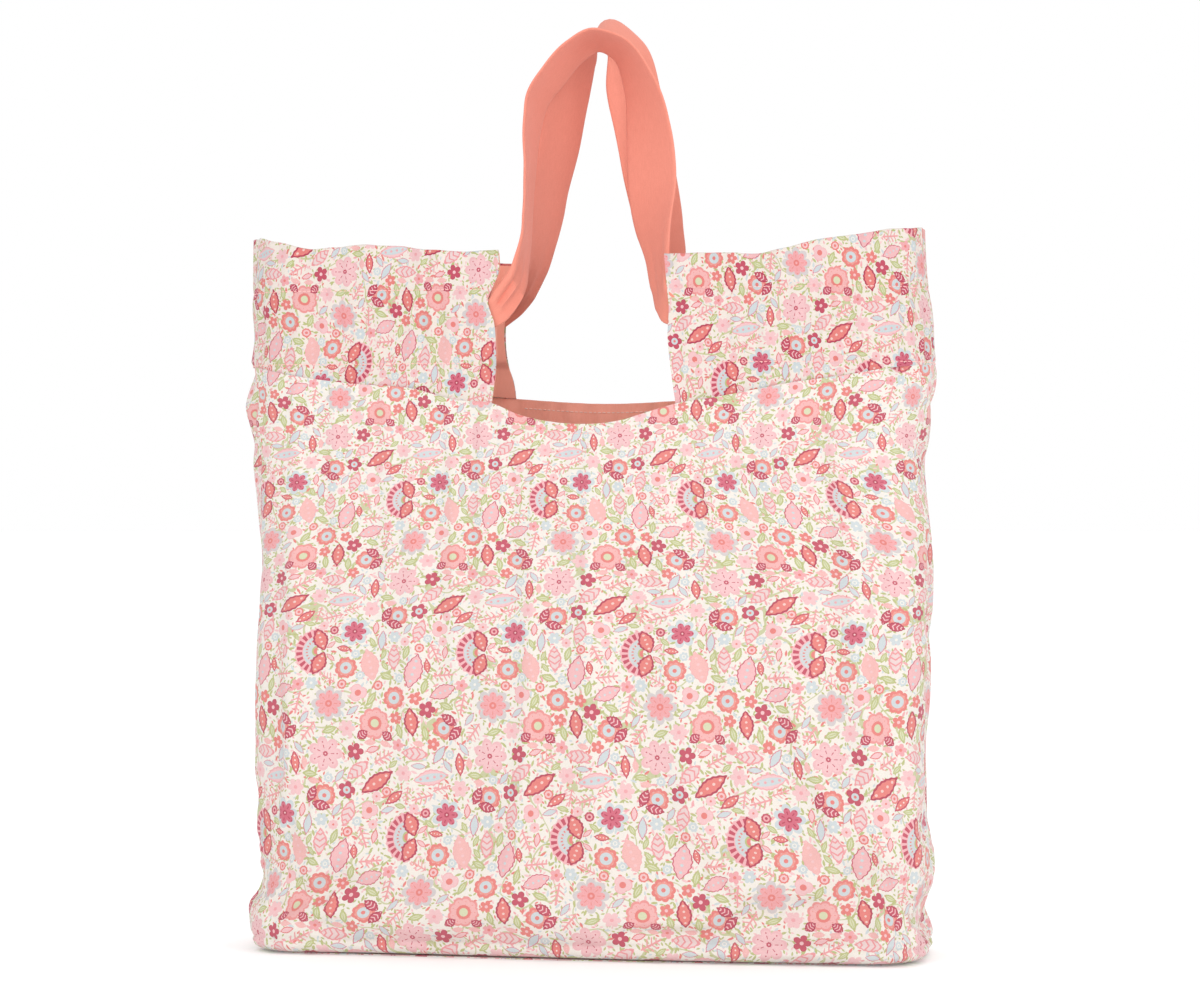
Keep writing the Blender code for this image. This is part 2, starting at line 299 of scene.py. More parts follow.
def body_height(u, z, side):
    """All that code adds to the body's surface: folds, seam puckers and the base seam's crease."""
    below = np.clip(seam_z(u, side) - z, 0, None)
    pucker = 0.00055 * fading(below, 0.010) * ripple(u, 0.0115, 1.0) * np.clip(below / 0.0015, 0, 1)
    crease = -0.0023 * bell(z - BASE_SEAM_Z, 0.0022) * (0.7 + 0.3 * ripple(u, 0.09, 5.0))
    off_floor = np.clip(z / 0.006, 0, 1)
    gather = 0.0008 * fading(z - BASE_SEAM_Z, 0.010) * ripple(u, 0.017, 2.0) * off_floor
    slack = 0.0021 * fractal(np.stack([u, z, 0.3 * side + 0 * u], -1), 13.0, 4.0)
    seam_fall = REACH - np.abs(u)
    slack *= np.clip(below / 0.030, 0, 1) * np.clip(z / 0.030, 0, 1) * smooth_step(seam_fall / SEAM_EASE)
    side_seam = -0.0016 * bell(seam_fall, 0.0030) * np.clip(z / BASE_ROLL, 0, 1)
    return folds_height(u, z, side) * off_floor + pucker + crease + gather + slack + side_seam


SIM_COLUMNS, SIM_ROWS, SIM_FRAMES = 104, 40, 22
SIM_CAP = 0.006  # how far the simulation may move a point
SIM_SLACK = 0.022  # how much larger the cloth is cut than the space it hangs in
SIM_STEADY = 0.85  # the share of the broad movement left out, as the outline already holds it


def broad_part(moved):
    """The movement [column, row, 3] with everything smaller than a hand's breadth smoothed away."""
    broad = moved.copy()
    for _ in range(70):
        rows = np.concatenate([broad[:, :1], broad, broad[:, -1:]], 1)
        broad = (np.roll(broad, 1, 0) + np.roll(broad, -1, 0) + rows[:, 2:] + rows[:, :-2]) / 4
    return broad


def drape_body():
    """Hangs the body's cloth between its base and the ears' seams, as one closed tube cut a little too
    large, and returns how far each point moved, for the front and for the back: [column, row, 3]."""
    u = np.linspace(-REACH, REACH, SIM_COLUMNS)[:, None]
    shares = np.linspace(0, 1, SIM_ROWS)
    sides = {side: outline(u, shares * seam_z(u, side), side)[0] for side in (-1, 1)}
    ring = np.concatenate([sides[-1][:-1], sides[1][::-1][:-1]])
    columns = len(ring)
    index = np.arange(columns * SIM_ROWS).reshape(columns, SIM_ROWS)
    following = np.roll(index, -1, axis=0)
    faces = np.stack([index[:, :-1], following[:, :-1], following[:, 1:], index[:, 1:]], -1).reshape(-1, 4)
    mesh = bpy.data.meshes.new("drape")
    mesh.from_pydata(ring.reshape(-1, 3).tolist(), [], faces.tolist())
    cloth = add_object("drape", mesh)
    held = cloth.vertex_groups.new(name="held")
    held.add([int(i) for i in index[:, [0, 1, -1]].ravel()], 1.0, "REPLACE")
    settings = cloth.modifiers.new("Cloth", "CLOTH").settings
    settings.quality = 6
    settings.mass = 0.15
    settings.tension_stiffness = 25
    settings.compression_stiffness = 20
    settings.shear_stiffness = 8
    settings.bending_stiffness = 0.4
    settings.air_damping = 3
    settings.vertex_group_mass = "held"
    settings.shrink_min = -SIM_SLACK
    settings.use_pressure = True
    settings.uniform_pressure_force = 0.12
    scene = bpy.context.scene
    for number in range(1, SIM_FRAMES + 1):
        scene.frame_set(number)
    graph = bpy.context.evaluated_depsgraph_get()
    result = cloth.evaluated_get(graph).data
    moved = np.zeros(len(result.vertices) * 3, np.float32)
    result.vertices.foreach_get("co", moved)
    moved = moved.reshape(columns, SIM_ROWS, 3).astype(float) - ring
    scene.frame_set(1)
    bpy.data.objects.remove(cloth)
    moved -= SIM_STEADY * broad_part(moved)
    distance = np.linalg.norm(moved, axis=-1, keepdims=True)
    moved *= SIM_CAP * np.tanh(distance / SIM_CAP) / np.maximum(distance, 1e-9)
    moved[..., 2] *= 0.5
    front = np.concatenate([moved[:SIM_COLUMNS - 1], moved[SIM_COLUMNS - 1:SIM_COLUMNS]])
    back = np.concatenate([moved[SIM_COLUMNS - 1:], moved[:1]])[::-1]
    return {-1: front, 1: back}


def resample(values, at):
    """Reads evenly spaced values at shares from 0 to 1 along their first axis, smoothly."""
    last = len(values) - 1
    place = np.clip(at, 0, 1) * last
    i = np.clip(np.floor(place).astype(int), 0, last - 1)
    t = (place - i).reshape((-1,) + (1,) * (values.ndim - 1))
    a, b, c, d = (values[np.clip(i + k, 0, last)] for k in (-1, 0, 1, 2))
    return 0.5 * (2 * b + (c - a) * t + (2 * a - 5 * b + 4 * c - d) * t**2 + (3 * b - a - 3 * c + d) * t**3)


# Mesh building


def add_object(name, data):
    obj = bpy.data.objects.new(name, data)
    bpy.context.scene.collection.objects.link(obj)
    return obj


def new_object(name, mesh, material):
    mesh.materials.append(material)
    mesh.shade_smooth()
    return add_object(name, mesh)


def cloth_mesh(name, outer, uv, material, sharp=60.0):
    """A closed sheet from points [column, row, 3] on its outer side, with cloth coordinates in metres."""
    columns, rows = outer.shape[:2]
    across = np.gradient(outer, axis=0)
    upward = np.gradient(outer, axis=1)
    normal = np.cross(across, upward)
    normal /= np.maximum(np.linalg.norm(normal, axis=-1, keepdims=True), 1e-12)
    inner = outer - normal * CLOTH
    index = np.arange(columns * rows).reshape(columns, rows)
    quads = np.stack([index[:-1, :-1], index[1:, :-1], index[1:, 1:], index[:-1, 1:]], -1).reshape(-1, 4)
    count = columns * rows
    rim = np.concatenate([index[:, 0], index[-1, 1:], index[-2::-1, -1], index[0, -2:0:-1]])
    ahead = np.roll(rim, -1)
    edge = np.stack([ahead, rim, rim + count, ahead + count], -1)
    faces = np.concatenate([quads, quads[:, ::-1] + count, edge])
    mesh = bpy.data.meshes.new(name)
    points = np.concatenate([outer.reshape(-1, 3), inner.reshape(-1, 3)])
    mesh.from_pydata(points.tolist(), [], faces.tolist())
    corners = np.tile(uv.reshape(-1, 2), (2, 1))[faces.ravel()]
    mesh.uv_layers.new(name="cloth").data.foreach_set("uv", corners.astype(np.float32).ravel())
    obj = new_object(name, mesh, material)
    mesh.set_sharp_from_angle(angle=math.radians(sharp))
    return obj


def print_uv(u, z):
    """Where a point of the body lies on the printed cloth: towards its top the cloth is gathered, so that
    more of the print goes into each length."""
    gathered = 0.18 * smooth_step((z - 0.205) / 0.150)
    rise = np.clip(z - 0.170, 0, None)
    v = z + np.where(rise < 0.100, 1.5 * rise**2, 0.015 + 0.30 * (rise - 0.100))
    return np.stack([u * (1 + gathered), v], -1)


DRAPE = drape_body()
BODY_COLUMNS, BODY_ROWS = 250, 150


def body_point(u, z, side):
    """The finished surface of one side of the body at points [column, row]. Each column has one u."""
    base, out = outline(u, z, side)
    top = seam_z(u, side)
    moved = resample(DRAPE[side], (u[:, 0] + REACH) / (2 * REACH))
    shares = np.clip(z / top, 0, 1)
    rows = np.stack([resample(*pair) for pair in zip(moved, shares)])
    return base + rows + out * body_height(u, z, side)[..., None]


def body_rows():
    """Shares of the height, closer together at the base's roll and at the seams above."""
    low = np.linspace(0, 0.05, 22)[:-1]
    return np.concatenate([low, np.linspace(0.05, 1, BODY_ROWS - len(low))])


def body_panel(name, side, material):
    us = np.linspace(-REACH + SIDE_GAP, REACH - SIDE_GAP, BODY_COLUMNS)
    u = np.repeat(us[:, None], BODY_ROWS, 1)
    z = body_rows() * (seam_z(u, side) - SEAM_GAP)
    points = body_point(u, z, side)
    uv = print_uv(u, z)
    if side > 0:
        points, uv = points[::-1], uv[::-1]
        uv = uv * (-1, 1) + (2 * REACH, 0)
    return cloth_mesh(name, points, uv, material, 50.0)


def ear_grid(sign, rows, front_columns=96, back_columns=80):
    """u, z, side of an ear's points, from one notch edge round to the other, seen from outside left to
    right. rows are shares of the height from the seam to the top edge."""
    edges = {(-1, -1): front_left_edge, (1, -1): front_right_edge,
             (-1, 1): back_left_edge, (1, 1): back_right_edge}
    blocks = []
    for side, count in ((-1, front_columns), (1, back_columns)):
        edge = edges[sign, side]
        share = np.linspace(0, 1, count)[:, None]
        z = np.full((count, len(rows)), NOTCH_Z)
        for _ in range(3):
            start = np.abs(u_of_x(edge(z), z))
            u = sign * (start + (REACH - start) * share)
            low, high = seam_z(u, side), top_z(u, side)
            z = low + (high - low) * rows
        blocks.append((u, z, side * np.ones_like(z)))
    return tuple(np.concatenate([first, second[-2::-1]]) for first, second in zip(*blocks[::sign]))


def round_ear(u, side):
    """The distance round from the middle of the front, which runs on past the side seam to the back."""
    return np.where(side < 0, u, 2 * np.sign(u) * REACH - u)


def ear_shape(u, z, side):
    """How far an ear stands out, in two parts: what all its layers share, its sway and the frill above the
    casing; and what only its outer cloth does, drawn in along its two stitch lines, gathered in puckers
    beside them, and puffed over the webbing between them."""
    spread = round_ear(u, side)
    low, high = seam_z(u, side), top_z(u, side)
    lower = np.clip((z - low) / 0.004, 0, 1)
    above = np.clip((z - STITCH_HIGH) / np.maximum(high - STITCH_HIGH, 1e-4), 0, 1)
    frill = above * (0.0016 * ripple(spread, 0.041, 9.0) + 0.0008 * ripple(spread, 0.0145, 4.0) + 0.0010)
    sway = 0.0024 * fractal(np.stack([spread, 0.3 * z, 0 * u], -1), 15.0, 8.0) * lower
    side_seam = -0.0012 * bell(REACH - np.abs(u), 0.0028)
    in_casing = np.clip((z - STITCH_LOW) / (STITCH_HIGH - STITCH_LOW), 0, 1)
    billow = 0.0012 * ripple(spread, 0.013, 6.0) * ripple(spread, 0.047, 2.0)
    puff = np.sin(math.pi * in_casing) * (0.0015 + billow)
    beside = fading(z - STITCH_LOW, 0.006) + fading(z - STITCH_HIGH, 0.007)
    puckers = beside * 0.0007 * ripple(spread, 0.0085, 8.0)
    drawn = -0.0007 * (bell(z - STITCH_LOW, 0.0012) + bell(z - STITCH_HIGH, 0.0012))
    return lower * frill + sway + side_seam, lower * (puff + puckers + drawn)


def ear_surface(u, z, side, inward=0.0, outer=True):
    base, out = outline(u, z, side)
    shared, own = ear_shape(u, z, side)
    return base + out * (shared + (own if outer else 0) - inward)[..., None]


def ear_uv(sign, u, z, side):
    """The print runs upright on the right ear and upside down on the left one, gathered by the webbing."""
    uv = np.stack([round_ear(u, side) * 1.22, z * 1.12], -1)
    return uv + (0.0160, 0.0240) if sign > 0 else (0.0385, 0.5120) - uv


def ear(sign, name, material):
    """Up the outside from the seam, over the top, and a hem down the inside."""
    rows = np.concatenate([np.linspace(0, 0.97, 60), [0.985, 0.995, 1.0]])
    u, z, side = ear_grid(sign, rows)
    points = ear_surface(u, z, side)
    uv = ear_uv(sign, u, z, side)
    out = outline(u[:, -1], z[:, -1], side[:, -1])[1]
    top, top_uv = points[:, -1], uv[:, -1]
    radius = HEM_IN / 2
    over, over_uv = [], []
    for angle in (30, 60, 90, 120, 150, 180):
        turn = math.radians(angle)
        move = -out * radius * (1 - math.cos(turn))
        move[:, 2] += radius * math.sin(turn)
        over.append(top + move)
        over_uv.append(top_uv + (0, radius * turn * sign))
    for drop in (0.5 * HEM_DROP, HEM_DROP):
        over.append(ear_surface(u[:, -1], z[:, -1] - drop, side[:, -1], HEM_IN))
        over_uv.append(top_uv + (0, (radius * math.pi + drop) * sign))
    points = np.concatenate([points, np.stack(over, 1)], 1)
    uv = np.concatenate([uv, np.stack(over_uv, 1)], 1)
    return cloth_mesh(name, points, uv, material)


def lining_depth(z):
    """How far in an ear's lining lies: behind the webbing at the casing, and further out beyond it."""
    casing = smooth_step((z - STITCH_LOW) / 0.006)
    header = smooth_step((z - STITCH_HIGH + 0.006) / 0.006)
    return LINING_LOW + (LINING_IN - LINING_LOW) * casing - (LINING_IN - LINING_TOP) * header


def lining(sign, name, material):
    u, z, side = ear_grid(sign, np.linspace(0.004, 0.993, 52))
    points = ear_surface(u, z, side, lining_depth(z), outer=False)
    return cloth_mesh(name, points, np.stack([round_ear(u, side), z], -1), material)


FACING_COLUMNS, FACING_ROWS = 110, 18
NOTCH_CORNER = 0.044  # the outline's corner radius at the notch


def facing_depth(below):
    """A facing lies close behind the free edge, and a little looser further down."""
    return 0.0008 + 0.0011 * smooth_step(below / FACING_HEIGHT)


def facing(side, name, material):
    """The coral strip inside the free edge between the ears, running on a little under them."""
    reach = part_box("front_facing" if side < 0 else "back_facing")[1].x + FACING_TUCK
    us = np.linspace(-reach, reach, FACING_COLUMNS) * FACE / (HALF_WIDTH - NOTCH_CORNER)
    if side > 0:
        us = us[::-1]
    u = np.repeat(us[:, None], FACING_ROWS, 1)
    top = seam_z(u, side) - SEAM_GAP - 0.0001
    z = top - FACING_HEIGHT * (1 - np.linspace(0, 1, FACING_ROWS))
    points = body_point(u, z, side) - outline(u, z, side)[1] * facing_depth(top - z)[..., None]
    return cloth_mesh(name, points, np.stack([u, z], -1), material)


def base_sheet(material):
    """The flat gusset inside the walls' turned-under edge, resting on what the bag stands on."""
    columns, rows = 90, 34
    grid = np.zeros((columns, rows, 3))
    us = np.linspace(-1, 1, columns) * (REACH - SEAM_GAP)
    front, back = (outline(us, 0.0, side)[0][:, None, :2] * BASE_SHRINK for side in (-1, 1))
    # Rows run from the front edge to the back edge, so the upper side faces up
    share = np.linspace(0, 1, rows)
    across = share[:, None]
    grid[..., :2] = front * (1 - across) + back * across
    sag = 0.0006 * np.sin(math.pi * share) * (1 + fractal(grid[..., :2], 14.0, 3.0))
    grid[..., 2] = 0.0006 + np.clip(sag, 0, None)
    return cloth_mesh("base_cloth", grid, grid[..., :2] + (0.02, 0.06), material)


# Straps

EAR_EDGE = 0.058  # x of the casings' mouths
FOOT_REACH = 0.0730  # the handles' feet run this far along x, into the casings

# Middle of the strap, direction from its far edge to its near edge, and share of its full width
FRONT_STRAP = [
    (-0.0730, -0.0533, 0.4165, 0.00, 0.00, 1.00, 0.50),
    (-0.0640, -0.0531, 0.4165, 0.00, 0.00, 1.00, 0.46),
    (-0.0560, -0.0520, 0.4180, -0.25, -0.08, 0.96, 0.44),
    (-0.0472, -0.0462, 0.4295, -0.54, -0.68, 0.48, 0.50),
    (-0.0420, -0.0410, 0.4400, -0.26, -0.90, 0.34, 0.58),
    (-0.0398, -0.0365, 0.4520, -0.06, -0.98, 0.14, 0.76),
    (-0.0386, -0.0310, 0.4660, 0.02, -1.00, 0.05, 0.92),
    (-0.0384, -0.0270, 0.4800, 0.04, -1.00, 0.02, 0.99),
    (-0.0375, -0.0228, 0.5150, 0.00, -1.00, 0.00, 1.00),
    (-0.0356, -0.0220, 0.5440, -0.10, -0.99, 0.03, 1.00),
    (-0.0326, -0.0220, 0.5590, -0.16, -0.98, 0.08, 1.00),
    (-0.0216, -0.0222, 0.5754, -0.18, -0.96, 0.16, 1.00),
    (-0.0072, -0.0216, 0.5912, -0.10, -0.97, 0.20, 1.00),
    (0.0060, -0.0213, 0.5982, 0.02, -0.97, 0.24, 1.00),
    (0.0215, -0.0205, 0.5925, 0.26, -0.92, 0.24, 1.00),
    (0.0350, -0.0195, 0.5700, 0.58, -0.81, 0.12, 1.00),
    (0.0420, -0.0200, 0.5360, 0.80, -0.60, 0.00, 1.00),
    (0.0446, -0.0230, 0.5020, 0.83, -0.54, 0.00, 1.00),
    (0.0464, -0.0285, 0.4740, 0.68, -0.73, 0.08, 0.94),
    (0.0494, -0.0330, 0.4550, 0.56, -0.78, 0.24, 0.74),
    (0.0518, -0.0405, 0.4395, 0.42, -0.50, 0.75, 0.62),
    (0.0545, -0.0480, 0.4260, 0.15, -0.20, 0.96, 0.50),
    (0.0592, -0.0524, 0.4195, 0.00, 0.00, 1.00, 0.46),
    (0.0730, -0.0533, 0.4180, 0.00, 0.00, 1.00, 0.50),
]
BACK_STRAP = [
    (-0.0730, 0.0533, 0.4215, 0.00, 0.00, 1.00, 0.46),
    (-0.0668, 0.0520, 0.4245, -0.20, -0.10, 0.97, 0.40),
    (-0.0590, 0.0440, 0.4296, -0.50, -0.60, 0.60, 0.42),
    (-0.0509, 0.0365, 0.4365, -0.38, -0.88, 0.22, 0.50),
    (-0.0435, 0.0310, 0.4500, -0.37, -0.92, 0.10, 0.66),
    (-0.0377, 0.0245, 0.4700, -0.39, -0.92, 0.02, 0.88),
    (-0.0343, 0.0222, 0.4860, -0.41, -0.91, 0.00, 0.97),
    (-0.0318, 0.0212, 0.5010, -0.42, -0.91, 0.00, 1.00),
    (-0.0252, 0.0198, 0.5330, -0.52, -0.85, 0.00, 1.00),
    (-0.0187, 0.0195, 0.5640, -0.50, -0.86, 0.02, 1.00),
    (-0.0085, 0.0200, 0.5915, -0.34, -0.93, -0.10, 1.00),
    (0.0065, 0.0205, 0.6090, -0.05, -0.84, -0.53, 1.00),
    (0.0205, 0.0205, 0.5975, -0.45, -0.84, -0.32, 1.00),
    (0.0262, 0.0200, 0.5680, -0.80, -0.60, 0.00, 1.00),
    (0.0318, 0.0190, 0.5400, -0.77, -0.64, 0.00, 1.00),
    (0.0375, 0.0180, 0.5100, -0.77, -0.64, 0.00, 1.00),
    (0.0440, 0.0236, 0.4780, -0.66, -0.75, 0.00, 0.97),
    (0.0486, 0.0305, 0.4600, -0.52, -0.84, -0.20, 0.88),
    (0.0512, 0.0405, 0.4410, -0.38, -0.62, -0.68, 0.62),
    (0.0545, 0.0485, 0.4260, -0.15, -0.20, -0.97, 0.50),
    (0.0592, 0.0525, 0.4195, 0.00, 0.00, -1.00, 0.46),
    (0.0730, 0.0533, 0.4180, 0.00, 0.00, -1.00, 0.50),
]


def strap_frames(stations, steps):
    """Centres, across-directions and width shares at even steps of a smooth path through the stations."""
    table = np.array(stations, float)
    lengths = lengths_along(table[:, :3])
    at = np.linspace(0, lengths[-1], steps + 1)
    columns = [smooth_curve(list(zip(lengths, table[:, k])))(at) for k in range(7)]
    values = np.stack(columns, -1)
    return values[:, :3], values[:, 3:6], np.clip(values[:, 6], 0, 1), at


def ribbon(name, centres, across, widths, at, material, cup, thick):
    """A folded and pressed strap: two faces a thickness apart, closed with soft edges, slightly cupped."""
    along = unit(np.gradient(centres, axis=0))
    across = unit(across - along * np.sum(across * along, 1, keepdims=True))
    normal = np.cross(along, across)
    half = STRAP_WIDTH / 2 * widths
    shares = np.array([-1.0, -0.97, -0.88, -0.62, -0.3, 0.0, 0.3, 0.62, 0.88, 0.97, 1.0])
    swell = np.array([0.35, 0.8, 1.0, 0.9, 0.85, 0.85, 0.85, 0.9, 1.0, 0.8, 0.35])
    gathered = np.clip(1 - widths, 0, 1)
    free = smooth_step((EAR_EDGE - np.abs(centres[:, 0])) / 0.010)
    slack = 0.0004 * free * fractal(centres, 26.0, 5.0)
    rings = []
    for flip in (1, -1):
        for share, fat in list(zip(shares, swell))[::flip]:
            wave = 0.0036 * gathered * free * np.sin(8.0 * share + 2.0)
            lift = cup * (share**2 - 0.4) * np.clip(widths * 2 - 1, 0, 1) + wave + slack * (1 + 0.5 * share)
            offset = lift + flip * thick / 2 * fat
            rings.append(centres + across * (half * share)[:, None] + normal * offset[:, None])
    grid = np.stack(rings, 1)
    steps, around = grid.shape[:2]
    index = np.arange(steps * around).reshape(steps, around)
    ahead = np.roll(index, -1, axis=1)
    faces = np.stack([index[:-1], ahead[:-1], ahead[1:], index[1:]], -1).reshape(-1, 4).tolist()
    faces.append(index[0, ::-1].tolist())
    faces.append(index[-1].tolist())
    mesh = bpy.data.meshes.new(name)
    mesh.from_pydata(grid.reshape(-1, 3).tolist(), [], faces)
    mirrored = np.concatenate([shares, shares[::-1]])
    uv_across = np.repeat(mirrored[None, :] * STRAP_WIDTH / 2, steps, 0)
    uv = np.stack([uv_across, np.repeat(at[:, None], around, 1)], -1)
    loops = [i for face in faces for i in face]
    layer = mesh.uv_layers.new(name="cloth")
    layer.data.foreach_set("uv", uv.reshape(-1, 2)[loops].astype(np.float32).ravel())
    mesh.validate()
    obj = new_object(name, mesh, material)
    mesh.set_sharp_from_angle(angle=math.radians(75))
    return obj


def handle(name, stations, material):
    centres, across, widths, at = strap_frames(stations, 300)
    return ribbon(name, centres, across, widths, at, material, STRAP_CUP, STRAP_THICK)


def casing_strap(sign, name, material):
    """The webbing's hidden run inside an ear, gathered towards its two mouths."""
    u, _, side = ear_grid(sign, np.array([0.5]), 90, 80)
    u, side = u[:, 0], side[:, 0]
    keep = np.abs(outline(u, MOUTH_Z, side)[0][:, 0]) > FOOT_REACH + 0.0012
    u, side = u[keep], side[keep]
    ends = np.minimum(np.arange(len(u)), np.arange(len(u))[::-1]) / 14.0
    widths = 0.52 + 0.44 * smooth_step(ends)
    middle = (TUNNEL_LOW.z + TUNNEL_HIGH.z) / 2
    height = middle + 0.008 * (1 - smooth_step(ends))
    centres = ear_surface(u, height, side, WEBBING_IN, outer=False)
    upright = np.tile((0.0, 0.0, 1.0), (len(centres), 1))
    return ribbon(name, centres, upright, widths, lengths_along(centres), material, 0.0, CASING_THICK)


# Thread

CASING_THREAD, FACING_THREAD, EDGE_THREAD = 0.0003, 0.00034, 0.00021  # radii
STITCH_LENGTH, STITCH_GAP = 0.0024, 0.0008


def stitches(name, lines, material, radius):
    """Short raised stitches along lines of (points, outward directions)."""
    verts, faces = [], []
    for points, out in lines:
        run = lengths_along(points)
        pitch = STITCH_LENGTH + STITCH_GAP
        for k in range(int(run[-1] / pitch)):
            marks = k * pitch + STITCH_LENGTH * np.array([0.0, 0.2, 0.8, 1.0])
            centre = np.stack([np.interp(marks, run, points[:, a]) for a in range(3)], -1)
            up = np.stack([np.interp(marks, run, out[:, a]) for a in range(3)], -1)
            ahead = centre[-1] - centre[0]
            ahead /= np.linalg.norm(ahead)
            start = len(verts)
            lifts, fats = (-0.4, 0.5, 0.5, -0.4), (0.35, 1.0, 1.0, 0.35)
            for place, outward, lift, fat in zip(centre, up, lifts, fats):
                beside = np.cross(outward, ahead)
                for turn in range(6):
                    angle = turn * math.pi / 3
                    ring = beside * math.cos(angle) + outward * (math.sin(angle) + lift)
                    verts.append(place + ring * radius * fat)
            for ring in range(3):
                for turn in range(6):
                    a, b = start + ring * 6 + turn, start + ring * 6 + (turn + 1) % 6
                    faces.append((a, b, b + 6, a + 6))
            faces.append(tuple(range(start + 5, start - 1, -1)))
            faces.append(tuple(range(start + 18, start + 24)))
    mesh = bpy.data.meshes.new(name)
    mesh.from_pydata([list(v) for v in verts], [], faces)
    return new_object(name, mesh, material)


def ear_stitch_line(sign, height, inside=False):
    """Along the outer cloth, or along the lining's inner side."""
    u, _, side = ear_grid(sign, np.array([0.5]), 160, 140)
    u, side = u[3:-3, 0], side[3:-3, 0]
    z = np.full(len(u), height)
    out = outline(u, z, side)[1]
    if inside:
        return ear_surface(u, z, side, lining_depth(z) + CLOTH, outer=False), -out
    return ear_surface(u, z, side), out


def edge_stitch_line(side, below, inward):
    """Along the free edge between the ears, this far below it: on the print, or inside on the facing."""
    u = np.linspace(-0.055, 0.055, 90)[:, None]
    z = seam_z(u, side) - SEAM_GAP - below
    out = outline(u, z, side)[1][:, 0]
    points = body_point(u, z, side)[:, 0]
    return points - out * inward, out * (-1 if inward > 0 else 1)


# Materials


class Nodes:
    """Short forms for adding nodes to a tree; each call returns its first output."""

    def __init__(self, tree):
        self.tree = tree

    def add(self, kind, *inputs, out=0, **settings):
        node = self.tree.nodes.new("ShaderNode" + kind)
        for key, value in settings.items():
            setattr(node, key, value)
        for i, value in enumerate(inputs):
            self.put(node.inputs[i], value)
        return node.outputs[out]

    def put(self, socket, value):
        if isinstance(value, bpy.types.NodeSocket):
            self.tree.links.new(value, socket)
        elif value is not None:
            socket.default_value = value

    def math(self, operation, *inputs):
        return self.add("Math", *inputs, operation=operation)

    def times(self, product, *factors):
        for factor in factors:
            product = self.math("MULTIPLY", product, factor)
        return product

    def minus(self, a, b):
        return self.math("SUBTRACT", a, b)

    def less(self, a, b):
        """1 where a is less than b."""
        return self.math("LESS_THAN", a, b)

    def more(self, a, b):
        return self.math("GREATER_THAN", a, b)

    def absolute(self, value):
        return self.math("ABSOLUTE", value)

    def sine(self, value):
        return self.math("SINE", value)

    def vector(self, operation, *inputs):
        scalar = operation in ("LENGTH", "DOT_PRODUCT", "DISTANCE")
        return self.add("VectorMath", *inputs, operation=operation, out=1 if scalar else 0)

    def mapped(self, vector, matrix):
        """The two products of a vector with the rows of a 2 by 2 matrix."""
        return [self.vector("DOT_PRODUCT", vector, (row[0], row[1], 0.0)) for row in matrix]

    def mix(self, share, a, b, kind="RGBA", first=6, out=2):
        """Colour a at share 0, b at share 1."""
        node = self.tree.nodes.new("ShaderNodeMix")
        node.data_type = kind
        for socket, value in ((0, share), (first, a), (first + 1, b)):
            self.put(node.inputs[socket], value)
        return node.outputs[out]

    def mix_vector(self, share, a, b):
        return self.mix(share, a, b, "VECTOR", 4, 1)

    def within(self, value, low, high):
        """1 where the value lies between low and high."""
        return self.times(self.more(value, low), self.less(value, high))

    def steps(self, value, colours):
        """A table of colours, one for each equal share of the value from 0 to 1."""
        node = self.tree.nodes.new("ShaderNodeValToRGB")
        self.put(node.inputs[0], value)
        ramp = node.color_ramp
        ramp.interpolation = "CONSTANT"
        ramp.elements.remove(ramp.elements[1])
        for i, colour in enumerate(colours):
            element = ramp.elements[0] if i == 0 else ramp.elements.new(i / len(colours))
            element.position = i / len(colours)
            element.color = colour
        return node.outputs[0], node.outputs[1]

    def column(self, kind, kinds, i):
        """Colour i of the kind that a point has."""
        return self.steps(kind, [entry[i] for entry in kinds])[0]

    def split(self, vector):
        return tuple(self.add("SeparateXYZ", vector).node.outputs)


def linear(red, green, blue):
    """A screen colour, 0 to 255, as the shader takes it."""
    def one(value):
        value /= 255
        return value / 12.92 if value <= 0.04045 else ((value + 0.055) / 1.055) ** 2.4
    return one(red), one(green), one(blue), 1.0


CREAM = linear(250, 246, 236)
RASPBERRY = linear(206, 84, 106)
DARK_RASPBERRY = linear(190, 66, 92)
CORAL = linear(241, 136, 130)
PINK = linear(250, 178, 182)
PALE_PINK = linear(253, 206, 208)
PALE_BLUE = linear(216, 225, 228)
OLIVE = linear(196, 200, 136)
PALE_OLIVE = linear(226, 228, 190)
POD_EDGE = linear(247, 166, 170)
TWIG_PINK = linear(248, 170, 172)

# The print repeats along two steps of the cloth, this matrix's columns, in millimetres
CELL = np.array([[110.8, -46.0], [0.0, -120.3]])
PRINT_ORIGIN = (0.0408, 0.2003)  # one large flower's middle, on the cloth of the front, in metres

